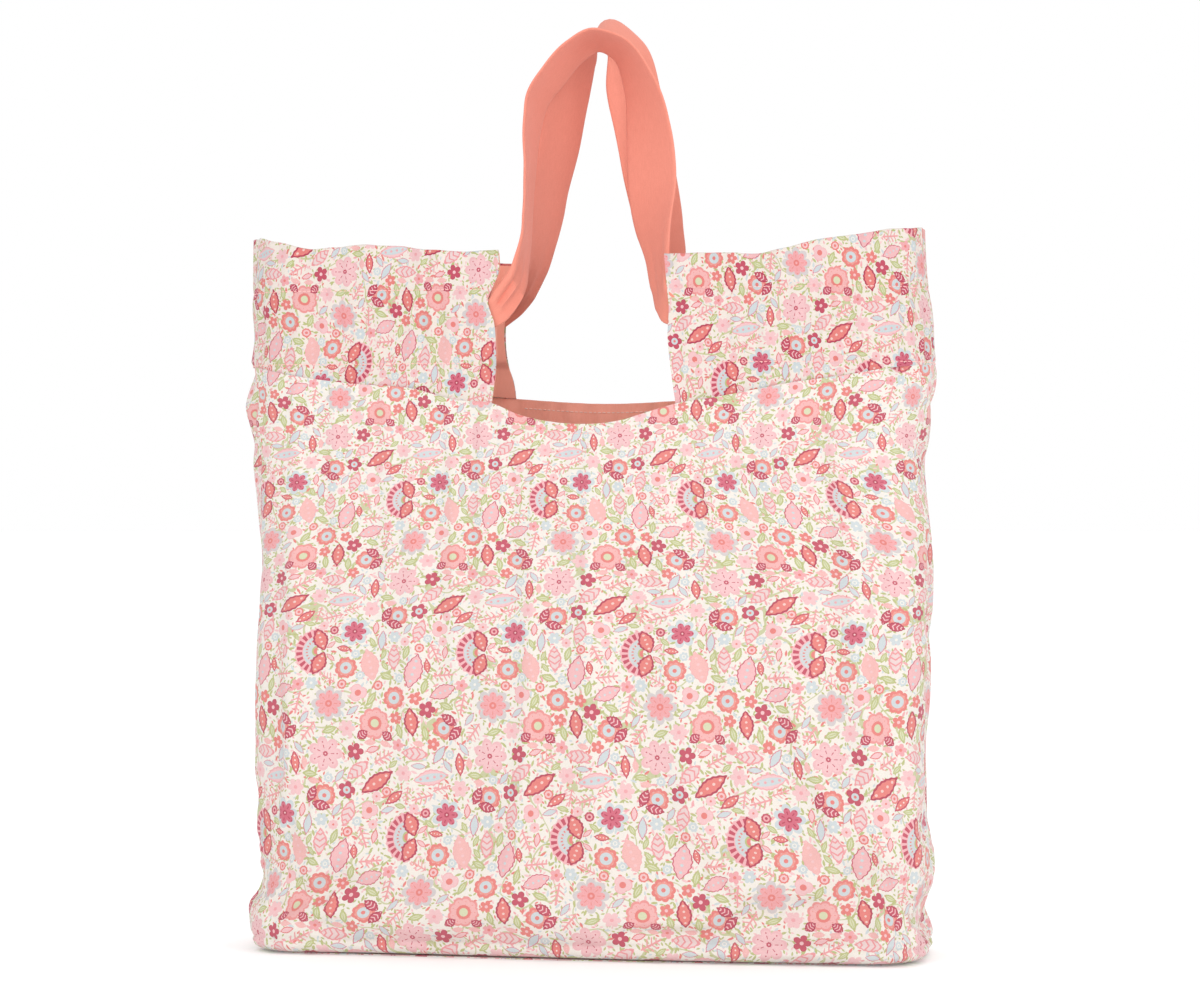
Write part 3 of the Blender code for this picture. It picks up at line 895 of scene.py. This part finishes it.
# Leaf kinds: edge, fill, middle band and detail colours, then edge width, band width, chevrons, dots
LEAF_KINDS = {
    "two_tone": (PINK, PALE_PINK, PALE_BLUE, PINK, 0.16, 0.50, 0, 1),
    "outlined": (linear(214, 100, 124), linear(252, 196, 198), PALE_BLUE, PALE_BLUE, 0.13, 0.0, 0, 1),
    "deep": (DARK_RASPBERRY, CORAL, CORAL, linear(252, 214, 206), 0.26, 0.0, 0, 1),
    "plain": (PINK, linear(253, 194, 190), PALE_PINK, PALE_PINK, 0.08, 0.0, 0, 1),
    "olive": (OLIVE, PALE_OLIVE, OLIVE, OLIVE, 0.46, 0.10, 0, 0),
    "blue": (linear(226, 142, 160), PALE_BLUE, PALE_BLUE, RASPBERRY, 0.22, 0.0, 0, 0),
    "dark": (DARK_RASPBERRY, RASPBERRY, RASPBERRY, PALE_PINK, 0.30, 0.0, 1, 0),
    "pod": (POD_EDGE, linear(246, 220, 218), PALE_BLUE, linear(246, 160, 164), 0.24, 0.0, 1, 0),
    "beaded": (RASPBERRY, CORAL, CORAL, linear(255, 238, 232), 0.30, 0.0, 0, 1),
    "coral": (linear(236, 124, 128), PALE_PINK, PALE_PINK, CORAL, 0.30, 0.0, 0, 0),
    "sprig": (TWIG_PINK, TWIG_PINK, PINK, TWIG_PINK, 0.0, 0.0, 1, 0),
}
SPRIGS = ("sprig",)  # of these, only the midline and the slanting twigs are drawn

# Flower kinds: edge, petal, ring and middle colours; radius (mm), petals, how deep they are cut, where the
# edge colour, the ring and the middle begin as shares of the radius, and how wide the petals' veins are
FLOWER_KINDS = {
    "berry": (DARK_RASPBERRY, RASPBERRY, RASPBERRY, PALE_PINK, 5.6, 5, 0.50, 0.92, 0.30, 0.22, 0.0),
    "berry_blue": (DARK_RASPBERRY, RASPBERRY, PALE_BLUE, CORAL, 5.8, 5, 0.45, 0.92, 0.42, 0.16, 0.0),
    "coral_five": (CORAL, CORAL, CORAL, PALE_PINK, 4.3, 5, 0.50, 0.95, 0.30, 0.24, 0.0),
    "pink_five": (PINK, PINK, PINK, CORAL, 4.2, 5, 0.45, 0.95, 0.30, 0.24, 0.0),
    "berry_ring": (RASPBERRY, RASPBERRY, PINK, DARK_RASPBERRY, 3.2, 9, 0.12, 0.80, 0.62, 0.28, 0.0),
    "coral_ring": (CORAL, PALE_PINK, PALE_PINK, CORAL, 3.3, 9, 0.12, 0.68, 0.62, 0.30, 0.0),
    "blue_big": (PALE_BLUE, PALE_BLUE, PALE_BLUE, CREAM, 4.3, 6, 0.40, 0.95, 0.30, 0.22, 0.0),
    "blue_small": (PALE_BLUE, PALE_BLUE, CREAM, PALE_BLUE, 3.2, 7, 0.30, 0.95, 0.46, 0.26, 0.0),
    "pale_big": (PALE_PINK, PALE_PINK, PALE_PINK, PINK, 5.7, 6, 0.42, 0.95, 0.30, 0.22, 0.0),
    "pale_small": (PALE_PINK, PALE_PINK, PALE_PINK, CORAL, 3.3, 8, 0.20, 0.95, 0.42, 0.22, 0.0),
    "rose": (linear(247, 160, 158), linear(252, 190, 188), CORAL, PALE_OLIVE,
        10.4, 9, 0.16, 0.84, 0.44, 0.26, 0.10),
    "grey_cluster": (linear(222, 214, 214), linear(250, 176, 178), CORAL, PINK,
        11.4, 8, 0.34, 0.76, 0.20, 0.08, 0.16),
    "pale_cluster": (linear(250, 196, 200), PALE_PINK, RASPBERRY, PALE_PINK,
        11.2, 7, 0.36, 0.82, 0.14, 0.05, 0.18),
    "leaf_cluster": (PALE_BLUE, linear(222, 110, 132), DARK_RASPBERRY, PALE_PINK,
        10.2, 7, 0.44, 0.74, 0.16, 0.06, 0.30),
    "carnation": (CORAL, linear(246, 160, 150), PALE_BLUE, CORAL, 7.6, 9, 0.18, 0.74, 0.52, 0.18, 0.10),
    "tulip": (linear(251, 186, 190), PALE_PINK, CORAL, CORAL, 6.0, 3, 0.36, 0.90, 0.34, 0.10, 0.0),
}

# What one repeat of the print holds, larger motifs first: how many of a flower's kind, or of a leaf's kind
# with its length and width (millimetres), which may be turned. Some are how many, whether they may be
# turned, and their parts: a flower's kind and middle, or a leaf's kind, middle, length, width and angle
MOTIFS = [
    (1, False, [("rose", 0, 0), ("dark", -8.4, -7.4, 8.4, 6.4, 35), ("dark", 8.2, -8.2, 8.4, 6.4, 140)]),
    (2, True, [("carnation", 0, 0), ("dark", -3.6, 7.6, 12.6, 6.8, 5),
               ("dark", -6.4, -1.4, 12.6, 6.8, -75)]),
    (1, "outlined", 24, 12.4), (1, "two_tone", 24, 10.4), (1, "plain", 23, 12), (1, "deep", 26, 10.2),
    (1, "grey_cluster"), (1, "pale_cluster"), (1, True, [("leaf_cluster", 0, 0)]), (1, "deep", 19, 9.6),
    (1, "outlined", 19, 9.4), (4, "pod", 18.4, 8.8), (2, "beaded", 15.5, 6.2), (2, "carnation"),
    (2, "tulip"), (6, "sprig", 15, 9), (2, "blue", 14.8, 6), (3, "pale_big"), (2, "berry"),
    (1, "berry_blue"), (2, "blue_big"), (9, "olive", 10.8, 4.8), (8, "blue", 10.4, 4.2),
    (3, "coral", 9.6, 4.4), (3, "sprig", 12, 7), (2, "beaded", 10, 4.6), (3, "coral_five"), (2, "pink_five"),
    (1, "berry_ring"), (4, "coral_ring"), (6, "blue_small"), (4, "pale_small"), (6, "olive", 8.2, 3.6),
    (5, "plain", 8.0, 4.0),
]
# The open fan's middle is at the repeat's origin, with its two deep petals and two small ones beside it
FAN = [("deep", 6.0, 8.2, 17, 10.6, 112), ("deep", 6.0, -8.2, 17, 10.6, -112),
       ("coral", 13.6, 4.6, 8.0, 3.2, 38), ("coral", 13.6, -4.2, 8.0, 3.2, -38)]
FAN_ROOM = (1.0, 0.0, 16.0)
PRINT_SEED, SPOTS_TRIED = 11, 500


def unpacked(row):
    """A row of MOTIFS as how many, whether it may be turned, and its parts."""
    count, kind, *leaf = row
    if not isinstance(kind, str):
        return row
    return count, bool(leaf), [(kind, 0, 0, *leaf, 0) if leaf else (kind, 0, 0)]


def room_of(parts):
    """Circles (x, y, radius) that cover a motif."""
    circles = []
    for kind, x, y, *leaf in parts:
        if not leaf:
            circles.append((x, y, FLOWER_KINDS[kind][4]))
            continue
        length, width, degrees = leaf
        turn = math.radians(degrees)
        for share, fat in ((-0.31, 0.32), (0.0, 0.46), (0.31, 0.32)):
            reach = share * length
            circles.append((x + reach * math.cos(turn), y + reach * math.sin(turn), width * fat))
    return np.array(circles)


def scatter():
    """The leaves and the flowers of one repeat. Each motif takes the emptiest of many chance spots."""
    dice = np.random.default_rng(PRINT_SEED)
    inverse = np.linalg.inv(CELL)
    taken = np.array([FAN_ROOM])
    found = list(FAN)
    for count, may_turn, parts in map(unpacked, MOTIFS):
        room = room_of(parts)
        for _ in range(count):
            spots = dice.uniform(-0.5, 0.5, (SPOTS_TRIED, 2)) @ CELL.T
            turns = dice.uniform(0, 2 * math.pi, SPOTS_TRIED) * may_turn
            cos, sin = np.cos(turns)[:, None], np.sin(turns)[:, None]
            x = spots[:, :1] + cos * room[:, 0] - sin * room[:, 1]
            y = spots[:, 1:] + sin * room[:, 0] + cos * room[:, 1]
            apart = np.stack([x, y], -1)[:, :, None] - taken[None, None, :, :2]
            shares = apart @ inverse.T
            apart = (shares - np.round(shares)) @ CELL.T
            clear = np.linalg.norm(apart, axis=-1) - room[None, :, None, 2] - taken[None, None, :, 2]
            best = int(np.argmax(clear.min(axis=(1, 2))))
            taken = np.concatenate([taken, np.stack([x[best], y[best], room[:, 2]], -1)])
            (ox, oy), turn = spots[best], turns[best]
            for kind, px, py, *leaf in parts:
                place = (ox + math.cos(turn) * px - math.sin(turn) * py,
                         oy + math.sin(turn) * px + math.cos(turn) * py)
                if leaf:
                    leaf = leaf[:2] + [leaf[2] + math.degrees(turn)]
                found.append((kind, *place, *leaf))
    return [part for part in found if len(part) > 3], [part for part in found if len(part) == 3]


def instance(n, lattice, x, y, level):
    """The lattice position of a point relative to one motif, from 0 to 1 with the motif at one half,
    wrapped so that every repeat has the motif. level is carried in z."""
    a, b = np.linalg.solve(CELL, [x, y])
    moved = n.vector("ADD", lattice, (0.5 - a, 0.5 - b, level))
    return n.vector("FRACTION", moved)


def leaf_layer(n, lattice, leaves):
    """Picks the leaf that a point lies in: its place along and across the leaf in x and y, kind in z."""
    picked = None
    names = list(LEAF_KINDS)
    level = 0.5
    for kind, x, y, length, width, degrees in leaves:
        spot = instance(n, lattice, x, y, level)
        turn = math.radians(degrees)
        rotate = np.array([[math.cos(turn), math.sin(turn)], [-math.sin(turn), math.cos(turn)]])
        linear_map = np.diag([2 / length, 2 / width]) @ rotate @ CELL
        rows = [(row[0], row[1], -(row[0] + row[1]) / 2 / level) for row in linear_map]
        along, across = (n.vector("DOT_PRODUCT", spot, row) for row in rows)
        local = n.add("CombineXYZ", along, across, (names.index(kind) + 0.5) / len(names))
        inside = n.less(n.vector("LENGTH", n.add("CombineXYZ", along, across)), 1.04)
        picked = n.mix_vector(inside, picked if picked is not None else (9.0, 9.0, 0.0), local)
    return picked


def flower_layer(n, lattice, flowers):
    """Picks the flower that a point lies in: its lattice position in x and y, its kind in z."""
    picked = None
    names = list(FLOWER_KINDS)
    for kind, x, y in flowers:
        level = (names.index(kind) + 0.5) / len(names)
        spot = instance(n, lattice, x, y, level)
        reach = FLOWER_KINDS[kind][4] / 92.0
        inside = n.less(n.vector("DISTANCE", spot, (0.5, 0.5, level)), reach)
        picked = n.mix_vector(inside, picked if picked is not None else (0.9, 0.9, 0.0), spot)
    return picked


def draw_flowers(n, lattice, flowers, ground):
    spot = flower_layer(n, lattice, flowers)
    kind = n.split(spot)[2]
    east, north = n.mapped(n.vector("SUBTRACT", spot, (0.5, 0.5, 0.0)), CELL)
    kinds = list(FLOWER_KINDS.values())
    sizes, vein = n.steps(kind, [(k[4] / 16, k[5] / 16, k[6], k[10]) for k in kinds])
    size, petals, cut = n.split(sizes)
    marks, _ = n.steps(kind, [(k[7], k[8], k[9], 1.0) for k in kinds])
    edge_at, ring_at, middle_at = n.split(marks)
    distance = n.vector("LENGTH", n.add("CombineXYZ", east, north))
    radius = n.math("DIVIDE", distance, n.times(size, 16.0))
    angle = n.math("ARCTAN2", north, east)
    turn = n.times(angle, 8.0, petals)
    wave = n.absolute(n.math("COSINE", turn))
    dent = n.minus(1.0, n.math("POWER", wave, 0.6))
    rim = n.minus(1.0, n.times(cut, dent))
    share = n.math("DIVIDE", radius, rim)
    colour = n.column(kind, kinds, 1)
    edge_colour = n.column(kind, kinds, 0)
    colour = n.mix(n.more(share, edge_at), colour, edge_colour)
    ring_colour = n.column(kind, kinds, 2)
    in_vein = n.less(n.absolute(n.sine(turn)), vein)
    dashes = n.more(n.sine(n.times(radius, 19.0)), -0.35)
    in_vein = n.times(n.times(in_vein, dashes), n.less(share, 0.72))
    ringed = n.math("MAXIMUM", n.less(radius, ring_at), in_vein)
    colour = n.mix(ringed, colour, ring_colour)
    middle_colour = n.column(kind, kinds, 3)
    colour = n.mix(n.less(radius, middle_at), colour, middle_colour)
    return n.mix(n.less(share, 1.0), ground, colour)


def draw_leaves(n, lattice, leaves, ground):
    x, y, kind = n.split(leaf_layer(n, lattice, leaves))
    kinds = list(LEAF_KINDS.values())
    widths, dots = n.steps(kind, [(k[4], k[5], k[6], k[7]) for k in kinds])
    edge_width, band_width, chevrons = n.split(widths)
    shape = n.minus(1.0, n.math("POWER", n.absolute(x), 1.8))
    wavy = n.times(n.sine(n.times(x, 21.0)), 0.045)
    height = n.absolute(y)
    depth = n.math("ADD", n.minus(shape, height), wavy)
    colour = n.column(kind, kinds, 1)
    band_colour = n.column(kind, kinds, 2)
    band = n.less(height, n.times(band_width, shape))
    colour = n.mix(band, colour, band_colour)
    detail_colour = n.column(kind, kinds, 3)
    bead = n.minus(n.math("FRACT", n.times(x, 2.6)), 0.5)
    bead = n.vector("LENGTH", n.add("CombineXYZ", n.times(bead, 0.85), y))
    bead = n.times(n.less(bead, 0.17), dots)
    slant = n.math("FRACT", n.minus(n.times(x, 2.3), n.times(height, 0.8)))
    chevron = n.times(n.less(slant, 0.30), chevrons)
    colour = n.mix(n.math("MAXIMUM", bead, chevron), colour, detail_colour)
    edge_colour = n.column(kind, kinds, 0)
    colour = n.mix(n.less(depth, edge_width), colour, edge_colour)
    _, filled = n.steps(kind, [(0, 0, 0, float(name not in SPRIGS)) for name in LEAF_KINDS])
    twigs = n.math("MAXIMUM", chevron, n.less(height, 0.13))
    inked = n.times(n.math("MAXIMUM", filled, twigs), n.more(depth, 0.0))
    return n.mix(inked, ground, colour)


def draw_fan(n, lattice, ground):
    """The large flower's open fan, under its two deep petals."""
    spot = n.vector("SUBTRACT", instance(n, lattice, 0.0, 0.0, 0.5), (0.5, 0.5, 0.5))
    east, north = n.mapped(spot, CELL)
    east = n.minus(east, 4.0)
    radius = n.vector("LENGTH", n.add("CombineXYZ", east, n.times(north, 0.92)))
    angle = n.math("ARCTAN2", north, n.times(east, -1.0))
    spokes = n.absolute(n.sine(n.times(angle, 10.0)))
    scallop = n.times(spokes, 0.8)
    left = n.less(n.absolute(angle), 1.75)
    on_fan = n.less(radius, n.minus(15.2, scallop))
    colour = n.mix(on_fan, ground, linear(252, 190, 194))
    dashed = n.times(n.more(spokes, 0.62), n.within(radius, 10.0, 13.8))
    colour = n.mix(dashed, colour, RASPBERRY)
    colour = n.mix(n.less(radius, 9.4), colour, linear(218, 222, 224))
    seeds = n.times(n.more(spokes, 0.80), n.within(radius, 6.2, 7.6))
    colour = n.mix(seeds, colour, CORAL)
    colour = n.mix(n.less(radius, 3.4), colour, OLIVE)
    colour = n.mix(n.less(radius, 2.3), colour, CORAL)
    return n.mix(left, ground, colour)


def draw_filler(n, cloth, ground):
    """Fine stems, and small leaflets and sprigs strewn between the larger motifs."""
    stems = n.add("TexNoise", cloth, None, 26.0, 1.5, 0.5, noise_dimensions="2D")
    line = n.less(n.absolute(n.minus(stems, 0.5)), 0.0095)
    colour = n.mix(n.times(line, 0.75), ground, OLIVE)
    palette = [OLIVE, PALE_PINK, OLIVE, PALE_BLUE, OLIVE, PINK, OLIVE, CORAL]
    for scale, length, width, share in ((310.0, 0.43, 0.18, 0.78), (165.0, 0.38, 0.13, 0.74)):
        cells = n.tree.nodes.new("ShaderNodeTexVoronoi")
        cells.voronoi_dimensions = "2D"
        n.put(cells.inputs["Vector"], cloth)
        n.put(cells.inputs["Scale"], scale)
        n.put(cells.inputs["Randomness"], 0.75)
        local = n.vector("SUBTRACT", cloth, cells.outputs["Position"])
        local = n.vector("SCALE", local)
        n.put(local.node.inputs[3], scale)
        pick, turn, chance = n.split(cells.outputs["Color"])
        rotated = n.add("VectorRotate", local, rotation_type="Z_AXIS")
        n.put(rotated.node.inputs["Angle"], n.times(turn, 6.2832))
        x, y, _ = n.split(rotated)
        along = n.math("DIVIDE", x, length)
        shape = n.minus(1.0, n.times(along, along))
        leaf = n.less(n.math("DIVIDE", n.absolute(y), width), shape)
        leaf = n.times(leaf, n.less(chance, share))
        tint, _ = n.steps(pick, palette)
        colour = n.mix(leaf, colour, tint)
    return colour


def floral_group():
    """Ground colour in, printed colour out, in the cloth's coordinates."""
    tree = bpy.data.node_groups.new("floral_print", "ShaderNodeTree")
    for label, end, kind in (("Ground", "INPUT", "Color"), ("Thinness", "INPUT", "Float"),
                             ("Colour", "OUTPUT", "Color")):
        tree.interface.new_socket(label, in_out=end, socket_type="NodeSocket" + kind)
    n = Nodes(tree)
    entry = tree.nodes.new("NodeGroupInput")
    cloth = n.add("UVMap", uv_map="cloth")
    moved = n.vector("SUBTRACT", cloth, (*PRINT_ORIGIN, 0.0))
    lattice = n.add("CombineXYZ", *n.mapped(moved, np.linalg.inv(CELL) * 1000))
    colour = draw_filler(n, cloth, entry.outputs[0])
    colour = draw_fan(n, lattice, colour)
    leaves, flowers = scatter()
    colour = draw_flowers(n, lattice, flowers, colour)
    colour = draw_leaves(n, lattice, leaves, colour)
    colour = n.mix(entry.outputs[1], colour, entry.outputs[0])
    leave = tree.nodes.new("NodeGroupOutput")
    tree.links.new(colour, leave.inputs[0])
    return tree


def new_material(name):
    material = bpy.data.materials.new(name)
    material.use_nodes = True
    shader = material.node_tree.nodes["Principled BSDF"]
    return material, Nodes(material.node_tree), shader


def weave(n, cloth, shader, threads, depth, roughness):
    """Plain weave as bump, with uneven threads, and a slightly uneven roughness."""
    scaled = n.vector("SCALE", cloth)
    n.put(scaled.node.inputs[3], 2 * math.pi * threads)
    x, y, _ = n.split(scaled)
    checks = n.times(n.sine(x), n.sine(y))
    slub = n.add("TexNoise", cloth, None, threads * 0.6, 2.0, 0.6)
    height = n.math("ADD", n.times(checks, 0.35), slub)
    bump = n.tree.nodes.new("ShaderNodeBump")
    n.put(bump.inputs["Strength"], 0.55)
    n.put(bump.inputs["Distance"], depth)
    n.put(bump.inputs["Height"], height)
    n.put(shader.inputs["Normal"], bump.outputs[0])
    uneven = n.add("TexNoise", cloth, None, 130.0, 3.0, 0.6)
    n.put(shader.inputs["Roughness"], n.math("MULTIPLY_ADD", uneven, 0.12, roughness - 0.06))
    n.put(shader.inputs["Sheen Weight"], 0.12)
    n.put(shader.inputs["Sheen Roughness"], 0.5)
    n.put(shader.inputs["Specular IOR Level"], 0.25)
    return slub, uneven


def printed_material(name, group, ground, tone, thinness):
    """tone is how much of the light the cloth's palest colour gives back, and thinness is how much of the
    ground shows through the print."""
    material, n, shader = new_material(name)
    cloth = n.add("UVMap", uv_map="cloth")
    slub, uneven = weave(n, cloth, shader, 2200.0, 0.00010, 0.88)
    painted = n.tree.nodes.new("ShaderNodeGroup")
    painted.node_tree = group
    n.put(painted.inputs[0], ground)
    n.put(painted.inputs[1], thinness)
    shade = n.math("MULTIPLY_ADD", slub, 0.20, tone - 0.10)
    shade = n.times(shade, n.math("MULTIPLY_ADD", uneven, 0.05, 0.975))
    colour = n.vector("MULTIPLY", painted.outputs[0], n.add("CombineXYZ", shade, shade, shade))
    n.put(shader.inputs["Base Color"], colour)
    return material


def coral_material(name, colour, threads, depth, roughness, contrast):
    """Plain dyed cotton: uneven threads, and slightly paler where it is rubbed."""
    material, n, shader = new_material(name)
    cloth = n.add("UVMap", uv_map="cloth")
    slub, _ = weave(n, cloth, shader, threads, depth, roughness)
    stretched = n.vector("MULTIPLY", cloth, (6.0, 1.0, 1.0))
    streak = n.add("TexNoise", stretched, None, 160.0, 2.0, 0.6)
    light = linear(*[min(255, c + 14) for c in colour])
    dark = linear(*[c - 12 for c in colour])
    share = n.math("ADD", n.times(slub, contrast), n.times(streak, 1 - contrast))
    n.put(shader.inputs["Base Color"], n.mix(share, dark, light))
    return material


def thread_material(name, colour):
    material, n, shader = new_material(name)
    where = n.add("TexCoord", out=3)
    twist = n.add("TexNoise", where, None, 2500.0, 1.0, 0.5)
    n.put(shader.inputs["Base Color"], n.mix(twist, linear(*[c * 0.93 for c in colour]), linear(*colour)))
    n.put(shader.inputs["Roughness"], n.math("MULTIPLY_ADD", twist, 0.2, 0.55))
    return material


def add(obj, slot, *nodes):
    """A piece of the bag itself, in place of these CAD nodes."""
    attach(obj, "bag")
    if nodes:
        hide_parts(*nodes)
    return obj


def build():
    group = floral_group()
    body_print = printed_material("floral_cotton_body", group, linear(252, 245, 236), 0.672, 0.05)
    # The ears are the body's print cloth with a lower tone and a pinker ground: painted shade of the
    # gathered ears
    shaded_ear_print = printed_material("floral_cotton_ears_painted_shade", group, linear(252, 240, 230), 0.638, 0.01)
    coral = coral_material("coral_cotton", (250, 172, 152), 1900.0, 0.00012, 0.88, 0.5)
    strap = coral_material("coral_strap", (217, 133, 115), 1700.0, 0.00014, 0.85, 0.5)
    pink_thread = thread_material("pink_thread", (244, 190, 184))
    coral_thread = thread_material("coral_thread", (253, 218, 206))

    front = add(body_panel("front_cloth", -1, body_print), "floral_cotton", "front_panel")
    back = add(body_panel("back_cloth", 1, body_print), "floral_cotton", "back_panel")
    base = add(base_sheet(body_print), "floral_cotton", "base_panel")
    for sign, side in ((-1, "left"), (1, "right")):
        outer = add(ear(sign, side + "_ear_cloth", shaded_ear_print), "floral_cotton", side + "_ear")
        inner = add(lining(sign, side + "_lining_cloth", coral), "coral_cotton", side + "_ear_lining")
        webbing = casing_strap(sign, side + "_casing_webbing", strap)
        add(webbing, "coral_webbing", side + "_casing_strap")
        lines = [ear_stitch_line(sign, STITCH_LOW), ear_stitch_line(sign, STITCH_HIGH)]
        add(stitches(side + "_ear_stitches", lines, pink_thread, CASING_THREAD), "floral_cotton")
        lines = [ear_stitch_line(sign, STITCH_LOW, True), ear_stitch_line(sign, STITCH_HIGH, True)]
        add(stitches(side + "_lining_stitches", lines, coral_thread, CASING_THREAD), "coral_cotton")
    for sign, side, panel in ((-1, "front", front), (1, "back", back)):
        strip = add(facing(sign, side + "_facing_cloth", coral), "coral_cotton", side + "_facing")
        inside = facing_depth(EDGE_STITCH) + CLOTH
        lines = [edge_stitch_line(sign, EDGE_STITCH, inside)]
        add(stitches(side + "_facing_stitches", lines, coral_thread, FACING_THREAD), "coral_cotton")
        lines = [edge_stitch_line(sign, EDGE_STITCH, 0.0)]
        add(stitches(side + "_edge_stitches", lines, pink_thread, EDGE_THREAD), "floral_cotton")
    for stations, side, sign in ((FRONT_STRAP, "front", -1), (BACK_STRAP, "back", 1)):
        loop = handle(side + "_handle_webbing", stations, strap)
        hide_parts(side + "_handle")
        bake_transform(loop)


FLOOR_RADIUS = 30.0


def stage_and_light():
    """A pale floor that runs out of sight, white surroundings, and four soft lamps."""
    around = np.linspace(0, 2 * math.pi, 65)[:-1]
    rim = [(FLOOR_RADIUS * math.cos(a), FLOOR_RADIUS * math.sin(a), 0.0) for a in around]
    floor_mesh = bpy.data.meshes.new("floor")
    floor_mesh.from_pydata(rim, [], [tuple(range(len(rim)))])
    floor = add_object("floor", floor_mesh)
    paper, n, shader = new_material("paper")
    grain = n.add("TexNoise", n.add("TexCoord", out=3), None, 40.0, 2.0, 0.5)
    n.put(shader.inputs["Base Color"], n.mix(grain, (0.93, 0.93, 0.93, 1), (0.97, 0.97, 0.97, 1)))
    n.put(shader.inputs["Roughness"], 0.9)
    n.put(shader.inputs["Emission Color"], (1, 1, 1, 1))
    n.put(shader.inputs["Emission Strength"], 0.08)
    floor_mesh.materials.append(paper)

    world = bpy.data.worlds.new("studio")
    world.use_nodes = True
    background = world.node_tree.nodes["Background"]
    background.inputs[0].default_value = (1.0, 1.0, 1.0, 1)
    background.inputs[1].default_value = 1.0
    bpy.context.scene.world = world

    def area(name, location, size, power):
        light = bpy.data.lights.new(name, "AREA")
        light.shape = "RECTANGLE"
        light.size, light.size_y = size
        light.energy = power
        lamp = add_object(name, light)
        lamp.location = location
        lamp.visible_camera = False
        lamp.rotation_mode = "QUATERNION"
        lamp.rotation_quaternion = (Vector(location) - Vector((0, 0, 0.3))).to_track_quat("Z", "Y")

    area("key", (-1.3, -2.4, 1.5), (1.6, 1.6), 6)
    area("front", (0.2, -2.9, 0.7), (2.2, 1.2), 25)
    area("right", (2.3, -1.5, 0.9), (1.6, 1.6), 14)
    area("rear", (0.6, 2.2, 2.0), (1.8, 1.2), 8)


def add_camera():
    """Level, a little to the right of the bag's front, as far off as makes the depth look right."""
    azimuth, distance, height = math.radians(9.0), 2.2, 0.297
    across, wide = 0.006, 0.792
    camera = bpy.data.cameras.new("camera")
    camera.sensor_width = 36.0
    camera.lens = camera.sensor_width * distance / wide
    camera.dof.use_dof = False
    holder = add_object("camera", camera)
    right = Vector((math.cos(azimuth), math.sin(azimuth), 0))
    back = Vector((math.sin(azimuth), -math.cos(azimuth), 0))
    holder.location = right * across + back * distance + Vector((0, 0, height))
    holder.rotation_mode = "QUATERNION"
    holder.rotation_quaternion = back.to_track_quat("Z", "Y")
    bpy.context.scene.camera = holder


build()
stage_and_light()
add_camera()
bpy.context.scene.view_settings.view_transform = "Standard"
